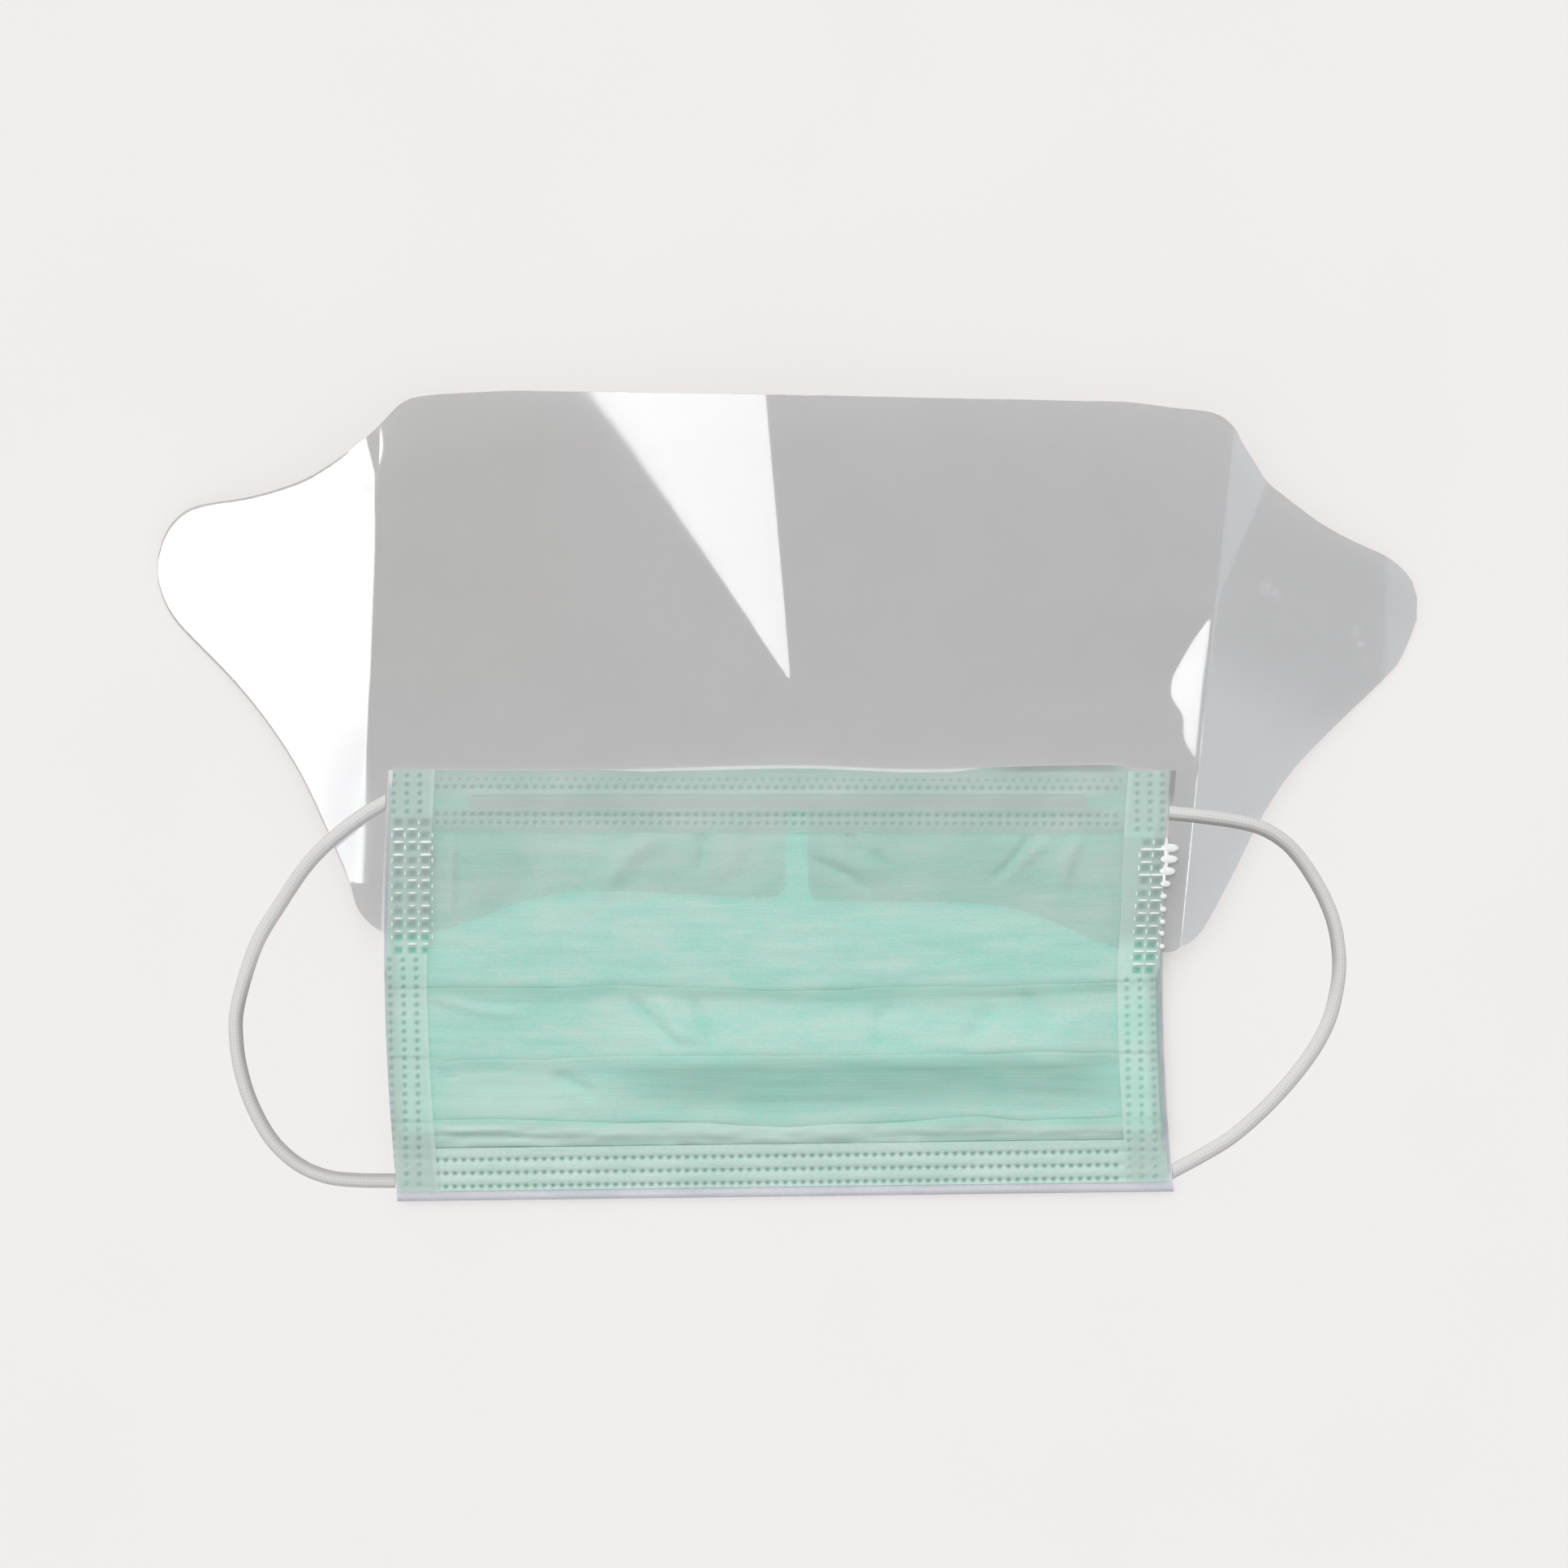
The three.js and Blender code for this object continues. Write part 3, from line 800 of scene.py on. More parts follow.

# %% Painted shade and light of the panel and the inner ply
PLEAT_SHADE = "#88baaa"
FOLD_SHADE = "#83ad9f"
LAST_PLEAT_Y = -73.5
# Shaded strips under the middle and the top pleat: upper edge and its rise, ends, width and depth of shade
SHADES = [
    {"y": -58.45, "rise": 0.9, "start": -52, "end": 84, "width": 14.0, "depth": 0.45},
    {"y": -43.7, "rise": 1.6, "start": -12, "end": 74, "width": 6.5, "depth": 0.22},
]
SHADE_RISES = (0, 65)  # X between which a strip's upper edge rises
SHADE_UPPER = (-0.2, 2.5)  # distances below that edge over which the shade starts
SHADE_FULL = 0.55  # share of a strip's width down to which it is full
SHADE_ENDS = (35, 18)  # lengths over which it fades at its left and its right end
# Painted light on a patch under the middle pleat, where the cloth lies open: along each axis, the patch's
# ends and those of its full share
PAINTED_LIGHT_PATCH = {"x": (-82, -72, -56, -44), "y": (-72.5, -71.0, -63.0, -59.5), "colour": "#bed9ce", "share": 0.5}
HEM_STRIP = {"colour": "#c2d7cf", "share": 0.7}
HEM_SEAM = {"at_left": -79.0, "width": 0.45, "colour": "#829c91", "share": 0.45}
# painted highlight along the inner ply's top edge, and painted shade on its top right corner
TOP_EDGE_HIGHLIGHT = {"y": (1, 4), "colour": "#fcfcff"}
DARK_CORNER = {"x": (80, 84), "y": (-3, 2), "colour": "#8c9290", "share": 0.9}
THROUGH = 0.09  # strength of the light that comes through at folded edges


def shade_panel(graph, place, colour):
    """Shade the panel under its pleats, and draw its patch of painted light, the strip above the hem and its
    seam.
    """
    x, y, _ = graph.split(place)
    for shade in SHADES:
        start, end, width = shade["start"], shade["end"], shade["width"]
        rise = shade["rise"] * MM * graph.step(x, *in_metres(SHADE_RISES))
        below_edge = shade["y"] * MM + rise - y
        under = graph.plateau(below_edge, *in_metres((*SHADE_UPPER, SHADE_FULL * width, width)))
        along = graph.plateau(x, *in_metres((start, start + SHADE_ENDS[0], end - SHADE_ENDS[1], end)))
        colour = graph.mix(shade["depth"] * under * along, colour, screen_colour(PLEAT_SHADE))
    # painted light where the cloth under the middle pleat lies open
    painted_light_patch = graph.plateau(x, *in_metres(PAINTED_LIGHT_PATCH["x"])) * graph.plateau(y, *in_metres(PAINTED_LIGHT_PATCH["y"]))
    colour = graph.mix(PAINTED_LIGHT_PATCH["share"] * painted_light_patch, colour, screen_colour(PAINTED_LIGHT_PATCH["colour"]))
    colour = graph.mix(graph.attribute("folded"), colour, screen_colour(FOLD_SHADE))
    above_hem = 1 - graph.step(y, *in_metres((LAST_PLEAT_Y - 1, LAST_PLEAT_Y + 1)))
    colour = graph.mix(HEM_STRIP["share"] * above_hem, colour, screen_colour(HEM_STRIP["colour"]))
    from_seam = abs(y - HEM_SEAM["at_left"] * MM - CHIN_RISE * (x - LEFT["bottom"] * MM))
    seam = 1 - graph.step(from_seam, *in_metres((0.3 * HEM_SEAM["width"], HEM_SEAM["width"])))
    return graph.mix(HEM_SEAM["share"] * seam, colour, screen_colour(HEM_SEAM["colour"]))


def shade_inner(graph, place, colour):
    """Paint a highlight on the inner ply's top edge, and a shade on its top right corner, which turns away
    from the light.
    """
    x, y, _ = graph.split(place)
    painted_top_highlight = graph.step(y, *in_metres(TOP_EDGE_HIGHLIGHT["y"]))
    colour = graph.mix(painted_top_highlight, colour, screen_colour(TOP_EDGE_HIGHLIGHT["colour"]))
    corner = graph.step(x, *in_metres(DARK_CORNER["x"])) * graph.step(y, *in_metres(DARK_CORNER["y"]))
    return graph.mix(DARK_CORNER["share"] * corner, colour, screen_colour(DARK_CORNER["colour"]))


inner_cloth = nonwoven("inner_white_cloth", "#dadae0", "#c8c9d1", "#b9bdc4", shade_inner)
panel_cloth = nonwoven("pleated_green_cloth", "#bdd6cd", "#98d2c1", "#86b3a5", shade_panel, through=THROUGH)
print("cloth finishes:", inner_cloth.name, panel_cloth.name)

# %% [markdown]
# ## Inner layer
# The white ply lies against the face. From the outer side only a narrow rim of it shows, past the
# green plies at both sides and below the bottom hem, where its edge is rolled and catches the light.

# %% Inner ply
INNER_LEVEL = 0.45
INNER_COLUMNS = 150
ROLLED_ROWS, FLAT_ROWS = 26, 70
ROLLED_SHARE = 0.05  # of the ply's height that the rows of its rolled edge take
WAVES_FROM = 0.85  # share of the ply's height above which it follows the top edge's waves
INNER_RIPPLE = 0.06
TURNED_CORNER = {"reach": 1.3, "y": (-9, 2), "share": (0.98, 1)}  # top right corner, past the mask's edge
# Height of the rolled bottom edge at distances from it
ROLLED_EDGE = {"from_edge": (0, 0.3, 0.8, 1.9, 2.5, 3.5), "height": (1.8, 2.3, 2.5, 2.45, 2.2, INNER_LEVEL)}

rolled_shares = np.linspace(0, ROLLED_SHARE, ROLLED_ROWS)[:-1]
flat_shares = np.linspace(ROLLED_SHARE, 1, FLAT_ROWS)
u, v = np.meshgrid(np.linspace(0, 1, INNER_COLUMNS), np.concatenate([rolled_shares, flat_shares]))
inner_y = between(bottom_y(u), top_y(u), v)
inner_x = across_x(u, inner_y, 0)
inner_y = inner_y + (wavy_top_y(inner_x) - top_y(u)) * smooth_step(v, WAVES_FROM, 1)
turned = smooth_step(inner_y, *TURNED_CORNER["y"]) * smooth_step(u, *TURNED_CORNER["share"])
inner_x = inner_x + TURNED_CORNER["reach"] * turned
inner_z = np.interp(inner_y - bottom_y(u), ROLLED_EDGE["from_edge"], ROLLED_EDGE["height"])
inner_z = inner_z + INNER_RIPPLE * slow_noise(inner_x, inner_y, (12, 8), seed=3.0)
inner = grid_surface("inner_grid", inner_x, inner_y, inner_z)
inner.data.materials.append(inner_cloth)
cloth_inner = finish_ply(inner, "cloth_inner", "inner_layer")
cloth_inner.visible_shadow = False

# %% [markdown]
# ## Pleated panel
# The green ply is one sheet, folded into three pleats that open downwards. Its middle line is drawn
# once for each place across the mask: level under a pleat, round the inner turn, back to the folded
# edge, and on over the top. Points along that line give a grid that follows the folds. They stand closest
# at the folded edges, where the line turns most, and furthest apart in the tucks, which nobody sees.

# %% Middle line of the pleats
# From the chin up: where each folded edge runs, how far and where it stands away from the mask, how much
# it dims the cloth beside it, and how much light comes through it
PLEATS = [
    {
        "edge": [
            (-89.0, -72.9), (-63.6, -72.6), (-41.8, -73.3), (-20.1, -73.3), (-2.8, -74.3), (6.1, -74.0),
            (30.2, -72.8), (43.1, -72.0), (54.4, -72.8), (74.3, -72.3), (87.0, -72.2),
        ],
        "lift": 0.1,
        "dim": 0.3,
        "lit": 0.3,
        "lifted": (-40, 60),
    },
    {
        "edge": [
            (-89.0, -58.5), (-79.6, -58.7), (-77.2, -59.8), (-72.7, -59.4), (-63.6, -59.2), (-55.5, -59.4),
            (-47.3, -58.9), (-38.2, -58.5), (-12.8, -58.4), (23.5, -58.2), (59.8, -57.6), (87.0, -57.5),
        ],
        "lift": 2.6,
        "dim": 0.35,
        "lit": 1.0,
        "lifted": (-50, 75.5),
    },
    {
        "edge": [
            (-89.0, -43.1), (-60.0, -43.2), (-46.4, -43.2), (-37.0, -42.7), (-15.0, -43.4), (1.7, -43.9),
            (12.0, -43.6), (27.1, -43.0), (45.3, -42.9), (63.4, -42.3), (78.0, -41.7), (87.0, -41.5),
        ],
        "lift": 0.3,
        "dim": 0.55,
        "lit": 0.8,
        "lifted": (-35, 20),
    },
]
TUCK = 7.5
LOW_LEVEL = 1.9
TURN = 0.55  # radius of a fold's middle line
NOSE = 1.2  # reach of a folded edge, which is pressed flat
HIDDEN, SEEN, CLOSE = 0.35, 1.0, 2.5  # how close points stand in tucks, in the open and at folded edges
FOLD_POINTS = 9
PUFF_ENDS = (30, 15)  # lengths over which a pleat's edge starts and stops standing away
NEAR_EDGE = {"usual": 0.45, "change": 0.35, "wave": 11}  # rise of a ply to the folded edge over it
FIRST_SEED = 1.5
# A ply that runs in under a folded edge: distance past the edge, height, and how close points stand
RUN_IN = [
    (-3.0, 1.65, SEEN), (-1.2, 1.95, CLOSE), (-0.3, 1.88, CLOSE), (0.3, 1.55, CLOSE), (0.9, 0.75, CLOSE),
    (1.4, 0.4, SEEN),
]
RUN_IN_END = 3.5
# The upper ply of a pleat: distance behind its folded edge, and its share of that edge's puff and the next's
PLEAT_BACK = [
    {"behind": 0.55 * TUCK, "puff": 0.7, "next_puff": 0.1},
    {"behind": TUCK + 1.5, "puff": 0.15, "next_puff": 0.65},
]
CHIN_RUN = (4.0, 11.0)  # distances of the ply's lowest points above the mask's bottom edge
TOP_RUN = [(18, 1.1), (13, 0.5), (10, 0.0), (0.6, 0.0)]  # its highest ones: below the top edge, and height
for pleat in PLEATS:
    pleat["line"] = smooth_line(pleat["edge"])


def pleat_y(pleat, x):
    return np.interp(x, pleat["line"][:, 0], pleat["line"][:, 1])


def pleat_puff(pleat, x):
    """How far a pleat's edge stands away at x."""
    start, end = pleat["lifted"]
    return pleat["lift"] * float(plateau(x, start, start + PUFF_ENDS[0], end - PUFF_ENDS[1], end))


def half_turn(y, z, reach, weight):
    """Points round half a fold about (y, z), which bulges by reach towards +Y, or towards -Y."""
    angles = np.linspace(-math.pi / 2, math.pi / 2, FOLD_POINTS)
    turned = [(y + reach * math.cos(angle), z + TURN * math.sin(angle), weight) for angle in angles]
    return [(*turned[0][:2], HIDDEN)] + turned[1:]


def under_edge(edge, rise):
    """Points where the ply runs in under the folded edge of a pleat, which stands away by rise."""
    points = [(edge + y, LOW_LEVEL + z + rise, weight) for y, z, weight in RUN_IN]
    return points + [(edge + RUN_IN_END, LOW_LEVEL, HIDDEN)]


def rise_to_edge(x, seed):
    """How far a ply rises to the folded edge over it at x."""
    return NEAR_EDGE["usual"] + NEAR_EDGE["change"] * noise.noise(Vector((x / NEAR_EDGE["wave"], 0, seed)))


def pleat_line(u):
    """Middle line of the pleated ply at share u of the width, as (y, z, weight) points from the chin up."""
    x = between(LEFT["top"], RIGHT["top"], u)
    line = [(bottom_y(u) + up, LOW_LEVEL, SEEN) for up in CHIN_RUN]
    line += under_edge(pleat_y(PLEATS[0], x), rise_to_edge(x, FIRST_SEED))
    for pleat, above in zip(PLEATS, PLEATS[1:] + [None]):
        outer = pleat_y(pleat, x) + NOSE + CLOTH / 2
        puff = pleat_puff(pleat, x)
        next_puff = pleat_puff(above, x) if above else 0
        line += half_turn(outer + TUCK, LOW_LEVEL + TURN, TURN, HIDDEN)
        folded_edge = half_turn(outer, LOW_LEVEL + 3 * TURN, -NOSE, CLOSE)
        line += [(y, z + puff, weight) for y, z, weight in folded_edge]
        for back in PLEAT_BACK:
            z = LOW_LEVEL + 4 * TURN + back["puff"] * puff + back["next_puff"] * next_puff
            line.append((outer + back["behind"], z, SEEN))
        if above:
            line += under_edge(pleat_y(above, x), next_puff + rise_to_edge(x, seed=above["lift"]))
    line += [(top_y(u) - down, LOW_LEVEL + height, SEEN) for down, height in TOP_RUN]
    return np.array(line)


def spaced(line, count):
    """Points along a line of (y, z, weight): the greater a stretch's weight, the closer they stand."""
    steps = np.linalg.norm(np.diff(line[:, :2], axis=0), axis=1) * line[1:, 2]
    run = np.concatenate([[0], np.cumsum(steps)])
    want = np.linspace(0, run[-1], count)
    return np.stack([np.interp(want, run, line[:, axis]) for axis in range(2)], axis=1)


pleat_length = line_length(pleat_line(0.5)[:, :2])
print(f"the panel is {pleat_length:.0f} mm long before it is folded")

# %% [markdown]
# ## Wrinkles
# A mask that was folded in a box keeps soft creases: a few leaning folds between the pleats, a star of
# fine ones under the visor. Each is a ridge or groove along a short line, with its own width.

# %% Wrinkles in the panel
WRINKLED = 2.0  # factor on the height of all wrinkles
WRINKLE_ENDS = (-0.1, 0.25, 0.7, 1.1)  # shares of a wrinkle's length between which it starts and ends
WANDER = {"share": 0.35, "turn": 5}  # how far a wrinkle strays, as a share of its half width, and how often
# Ends of each wrinkle, its height and its half width; a negative height is a groove
WRINKLES = [
    {"start": (-35.5, -45.0), "end": (-24.0, -56.5), "height": -0.45, "half": 1.2},
    {"start": (-30.5, -45.5), "end": (-20.5, -55.0), "height": 0.45, "half": 2.0},
    {"start": (-21.0, -44.5), "end": (-16.5, -57.0), "height": -0.45, "half": 1.0},
    {"start": (21.5, -47.0), "end": (20.5, -57.0), "height": -0.35, "half": 2.0},
    {"start": (44.5, -46.0), "end": (41.5, -56.0), "height": -0.35, "half": 2.2},
    {"start": (52.0, -44.0), "end": (60.0, -52.0), "height": -0.40, "half": 1.6},
    {"start": (-52.0, -61.5), "end": (-43.0, -68.0), "height": -0.40, "half": 1.6},
    {"start": (-75.6, -8.0), "end": (-74.8, -28.0), "height": 0.45, "half": 0.9},
    {"start": (-29.0, -8.5), "end": (-43.0, -21.5), "height": 0.55, "half": 2.6},
    {"start": (-19.3, -7.5), "end": (-19.0, -17.0), "height": -0.50, "half": 1.4},
    {"start": (-13.0, -8.0), "end": (-14.0, -19.0), "height": 0.35, "half": 2.2},
    {"start": (12.6, -8.0), "end": (16.4, -12.8), "height": -0.50, "half": 0.7},
    {"start": (18.8, -12.4), "end": (22.8, -15.8), "height": -0.45, "half": 0.8},
    {"start": (4.5, -13.0), "end": (19.5, -21.8), "height": -0.45, "half": 1.1},
    {"start": (9.0, -12.0), "end": (22.0, -18.0), "height": 0.35, "half": 1.6},
    {"start": (55.2, -8.6), "end": (45.4, -19.4), "height": -0.55, "half": 1.0},
    {"start": (57.8, -9.0), "end": (49.0, -19.0), "height": 0.35, "half": 1.4},
    {"start": (64.4, -8.6), "end": (61.8, -20.5), "height": 0.55, "half": 1.5},
    {"start": (-58.0, -14.0), "end": (-62.0, -24.0), "height": -0.35, "half": 3.0},
    {"start": (-80.0, -45.5), "end": (-58.0, -49.0), "height": 0.30, "half": 1.2},
    {"start": (-80.0, -76.0), "end": (-44.0, -76.4), "height": -0.18, "half": 0.6},
    {"start": (-78.0, -74.5), "end": (-60.0, -74.8), "height": 0.20, "half": 0.6},
    {"start": (-76.0, -78.0), "end": (-48.0, -77.7), "height": 0.20, "half": 0.7},
    {"start": (8.0, -76.0), "end": (70.0, -75.2), "height": -0.12, "half": 0.7},
]


def wrinkle_height(x, y):
    """Height of all wrinkles together at arrays of places."""
    height = np.zeros_like(x)
    for wrinkle in WRINKLES:
        start, end = np.array(wrinkle["start"]), np.array(wrinkle["end"])
        run = end - start
        length = np.linalg.norm(run)
        along = ((x - start[0]) * run[0] + (y - start[1]) * run[1]) / length**2
        aside = ((x - start[0]) * run[1] - (y - start[1]) * run[0]) / length
        aside = aside + WANDER["share"] * wrinkle["half"] * np.sin(WANDER["turn"] * along + start[0])
        ridge = plateau(along, *WRINKLE_ENDS) * np.exp(-((aside / wrinkle["half"]) ** 2))
        height += WRINKLED * wrinkle["height"] * ridge
    return height


print(len(WRINKLES), "wrinkles")

# %% [markdown]
# ## Side edges of the plies
# At both sides all plies are pressed together and welded, so the stack is thin there and the folds end
# in a closed edge. A ply's height falls over a short width to a thin stack on the inner ply.

# %% Fall of a ply at its side edge
SIDE_FALL = 0.9
SIDE_LEVEL = 1.2
SIDE_SHARE = 0.35  # of a ply's height in the stack that is left at the edge


def press_side(from_side, z, level=SIDE_LEVEL):
    """Height of a ply at a distance from its side edge."""
    pressed_z = level + SIDE_SHARE * (z - LOW_LEVEL)
    return between(pressed_z, z, smooth_step(from_side, 0, SIDE_FALL))


def from_sides(x, y):
    """Distance of places from the nearer side edge of the green plies."""
    return np.minimum(x - across_x(0, y, SHOWN_SIDE), across_x(1, y, SHOWN_SIDE) - x)


print("plies fall to", SIDE_LEVEL, "mm at their side edges")

# %% Grid of the pleated panel
PANEL_ROWS = 225
PANEL_COLUMNS = 198
SIDE_COLUMNS = (0, 0.2, 0.45, 0.7, 0.95, 1.3)  # distances from a side edge
OPEN_STRIP = (1.0, 2.0, 5.0, 6.5)  # distances below a folded edge between which the cloth is smoothed
SMOOTHED = 12  # times
CRINKLE = {"height": 0.18, "long": (16, 2.2), "short": (7, 4), "short_share": 0.6}
HEM_CRINKLE = {"size": (5, 1.7), "share": 1.5, "starts": (LAST_PLEAT_Y - 1.5, LAST_PLEAT_Y + 0.5)}

side_shares = np.array(SIDE_COLUMNS) / (RIGHT["top"] - LEFT["top"])
middle_shares = np.linspace(side_shares[-1], 1 - side_shares[-1], PANEL_COLUMNS)[1:-1]
shares = np.concatenate([side_shares, middle_shares, 1 - side_shares[::-1]])
lines = np.stack([spaced(pleat_line(share), PANEL_ROWS) for share in shares], axis=1)
panel_y, panel_z = lines[..., 0], lines[..., 1]
panel_x = across_x(shares[None, :], panel_y, SHOWN_SIDE)
below_edges = [pleat_y(pleat, panel_x) - panel_y for pleat in PLEATS]
open_strip = sum(plateau(below, *OPEN_STRIP) for below in below_edges)
for _ in range(SMOOTHED):
    halfway_z = (panel_z[:-2] + panel_z[2:]) / 2
    panel_z[1:-1] += 0.5 * open_strip[1:-1] * (halfway_z - panel_z[1:-1])
crinkle = slow_noise(panel_x, panel_y, CRINKLE["long"], seed=1.0)
crinkle = crinkle + CRINKLE["short_share"] * slow_noise(panel_x, panel_y, CRINKLE["short"], seed=5.0)
above_hem = 1 - smooth_step(panel_y, *HEM_CRINKLE["starts"])
hem_crinkle = above_hem * slow_noise(panel_x, panel_y, HEM_CRINKLE["size"], seed=9.0)
crinkle = crinkle + HEM_CRINKLE["share"] * hem_crinkle
ruffled = wrinkle_height(panel_x, panel_y) + CRINKLE["height"] * crinkle
panel_z = press_side(from_sides(panel_x, panel_y), panel_z + ruffled)
print(panel_x.shape, "points on the panel")

# %% Make the pleated panel
# Strips beside a folded edge that take its shade and that light comes through: middle and half width
FOLD_SHADED = {"below": 0.2, "half": 1.5}
FOLD_LIT = {"below": -0.7, "half": 0.45}
FOLD_CHANGE = {"usual": 0.85, "change": 0.5, "size": (13, 40)}  # of that shade along an edge


def strip(below, facts):
    """1 along the middle of a strip beside a folded edge, and less away from it."""
    return np.exp(-(((below - facts["below"]) / facts["half"]) ** 2))


folded, lit = np.zeros_like(panel_x), np.zeros_like(panel_x)
for pleat, below in zip(PLEATS, below_edges):
    folded = np.maximum(folded, pleat["dim"] * strip(below, FOLD_SHADED))
    lit = np.maximum(lit, pleat["lit"] * strip(below, FOLD_LIT))
changing = slow_noise(panel_x, panel_y, FOLD_CHANGE["size"], seed=12.0)
folded = folded * (FOLD_CHANGE["usual"] + FOLD_CHANGE["change"] * changing)
panel = grid_surface("panel_grid", panel_x, panel_y, panel_z)
# points carry how deep they lie in a wrinkle's hollow, for a painted shade there, and the painted shade and
# glow beside folded edges
for mark, values in (("painted_hollow_shade", -ruffled), ("folded", folded), ("lit", lit)):
    panel.data.attributes.new(mark, "FLOAT", "POINT").data.foreach_set("value", values.ravel())
panel.data.materials.append(panel_cloth)
cloth_panel = finish_ply(panel, "cloth_panel", "outer_panel")

# %% [markdown]
# ## Nose wire and top hem
# The top hem is a strip of the green cloth over the panel's upper edge. It holds a flat wire, which
# stands up under the cloth and shows through it as a greyer strip. Three rows of dots close the hem, one
# above the wire and two below, with a row of finer dots along the top edge. The wire itself keeps its CAD
# shape and gets a coated finish.

# %% Wire finish
WIRE_STREAK = (6, 0.2, 0.2)

wire_material, graph, place = new_material("coated_wire")
wire_streak = grain(graph, place, WIRE_STREAK)
wire_sockets = {
    "Base Color": graph.mix(wire_streak, screen_colour("#b4bab8"), screen_colour("#9fa8a5")),
    "Roughness": 0.4 + 0.15 * wire_streak,
    "Normal": bump(graph, wire_streak, 0.03),
}
set_surface(graph, wire_sockets)
wire_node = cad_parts["nose_wire"]
wire_node.data.materials.clear()
wire_node.data.materials.append(wire_material)
wire_low, wire_high = (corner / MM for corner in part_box("nose_wire"))
print("wire from", [round(side, 1) for side in wire_low], "to", [round(side, 1) for side in wire_high])

# %% Finish of the top hem
WIRE_SHOWS = {"colour": "#b5bdba", "share": 0.65}
# painted shade in the groove along the wire's upper edge
WIRE_GROOVE_SHADE = {"colour": "#93ada4", "share": 0.45, "y": (-0.2, 0.3, 0.4, 1.0)}  # from the wire's upper edge
PAST_WIRE = {"colour": "#a2d3c4", "share": 0.6}
ROLLED_TOP = {"colour": "#94a09a", "share": 0.7, "x": (42, 54, 71, 77), "y": (5.2, 6.0)}


def wire_shadow(graph, place, colour):
    """Grey the hem where the wire shows through, deepen it past the wire's ends, and paint shade above the
    wire and on its rolled top.
    """
    x, y, _ = graph.split(place)
    left, right, low, high = wire_low.x, wire_high.x, wire_low.y, wire_high.y
    inside_x = graph.plateau(x, *in_metres((left, left + 2, right - 2, right)))
    inside_y = graph.plateau(y, *in_metres((low - 0.3, low + 0.5, high - 0.5, high + 0.3)))
    # painted shade in the groove above the wire
    rim = inside_x * graph.plateau(y, *in_metres([high + above for above in WIRE_GROOVE_SHADE["y"]]))
    colour = graph.mix(WIRE_GROOVE_SHADE["share"] * rim, colour, screen_colour(WIRE_GROOVE_SHADE["colour"]))
    past = (1 - inside_x) * inside_y
    colour = graph.mix(PAST_WIRE["share"] * past, colour, screen_colour(PAST_WIRE["colour"]))
    rolled = graph.plateau(x, *in_metres(ROLLED_TOP["x"])) * graph.step(y, *in_metres(ROLLED_TOP["y"]))
    colour = graph.mix(ROLLED_TOP["share"] * rolled, colour, screen_colour(ROLLED_TOP["colour"]))
    return graph.mix(WIRE_SHOWS["share"] * inside_x * inside_y, colour, screen_colour(WIRE_SHOWS["colour"]))


top_hem_cloth = nonwoven("top_hem_cloth", "#bbd0c8", "#a8ccc1", "#97b4aa", wire_shadow)
print("hem finish:", top_hem_cloth.name)

# %% Top hem
TOP_HEM_WIDTH = 14
HEM_LEVEL = 3.25
HEM_ROWS = 48
HEM_COLUMNS = 700
HEM_WAVES_FROM = 0.7  # share of the hem's width above which it follows the top edge's waves
HEM_RIPPLE = 0.10
HEM_LOW_EDGE = {"fall": 0.25, "share": 0.12}  # the hem's lower edge is pressed down over a share of its width
OVER_WIRE = {"gap": 0.05, "along": 4, "across": 2}  # gap to the wire, and lengths over which the hem rises
HEM_SIDE_LEVEL = SIDE_LEVEL + 0.15
DOT_PITCH = 2.0
TOP_DOT_ROWS = [2.1, -4.0, -5.9]
FINE_ROW = 3.9
HEM_DOTS_LEFT = -78.5
HEM_DOTS_COUNT = 77
TOP_DOT_STEP = (DOT_PITCH, -0.005)
HEM_DOT = {"half": (0.8, 0.75), "depth": 0.25, "squareness": 2.5}
FINE_DOT = {"half": (0.6, 0.5), "depth": 0.12, "squareness": 2.0}
SHOWN_TOP = 0.7  # strip of the inner ply that shows above the hem, and where it starts and ends
SHOWN_TOP_SPAN = (-44, -30, 36, 46)

u, v = np.meshgrid(np.linspace(0, 1, HEM_COLUMNS), np.linspace(0, 1, HEM_ROWS))
hem_y = top_y(u) - TOP_HEM_WIDTH * (1 - v)
hem_x = across_x(u, hem_y, SHOWN_SIDE)
hem_top = wavy_top_y(hem_x) - SHOWN_TOP * plateau(hem_x, *SHOWN_TOP_SPAN)
hem_y = hem_y + (hem_top - top_y(u)) * smooth_step(v, HEM_WAVES_FROM, 1)
across, along = OVER_WIRE["across"], OVER_WIRE["along"]
over_wire = plateau(hem_y, wire_low.y - across, wire_low.y, wire_high.y, wire_high.y + across)
over_wire = over_wire * plateau(hem_x, wire_low.x - along, wire_low.x, wire_high.x, wire_high.x + along)
hem_z = between(HEM_LEVEL, wire_high.z + OVER_WIRE["gap"] + CLOTH / 2, over_wire)
hem_z = hem_z - HEM_LOW_EDGE["fall"] * (1 - smooth_step(v, 0, HEM_LOW_EDGE["share"]))
hem_z = hem_z + HEM_RIPPLE * slow_noise(hem_x, hem_y, (9, 5), seed=8.0)
hem_z = press_side(from_sides(hem_x, hem_y), hem_z, HEM_SIDE_LEVEL)
top_hem = grid_surface("top_hem_grid", hem_x, hem_y, hem_z)
for row_y in TOP_DOT_ROWS:
    press_row(top_hem, top_hem_cloth, (HEM_DOTS_LEFT, row_y), TOP_DOT_STEP, HEM_DOTS_COUNT, **HEM_DOT)
fine_start = (HEM_DOTS_LEFT + DOT_PITCH / 2, FINE_ROW)
press_row(top_hem, top_hem_cloth, fine_start, TOP_DOT_STEP, HEM_DOTS_COUNT, **FINE_DOT)
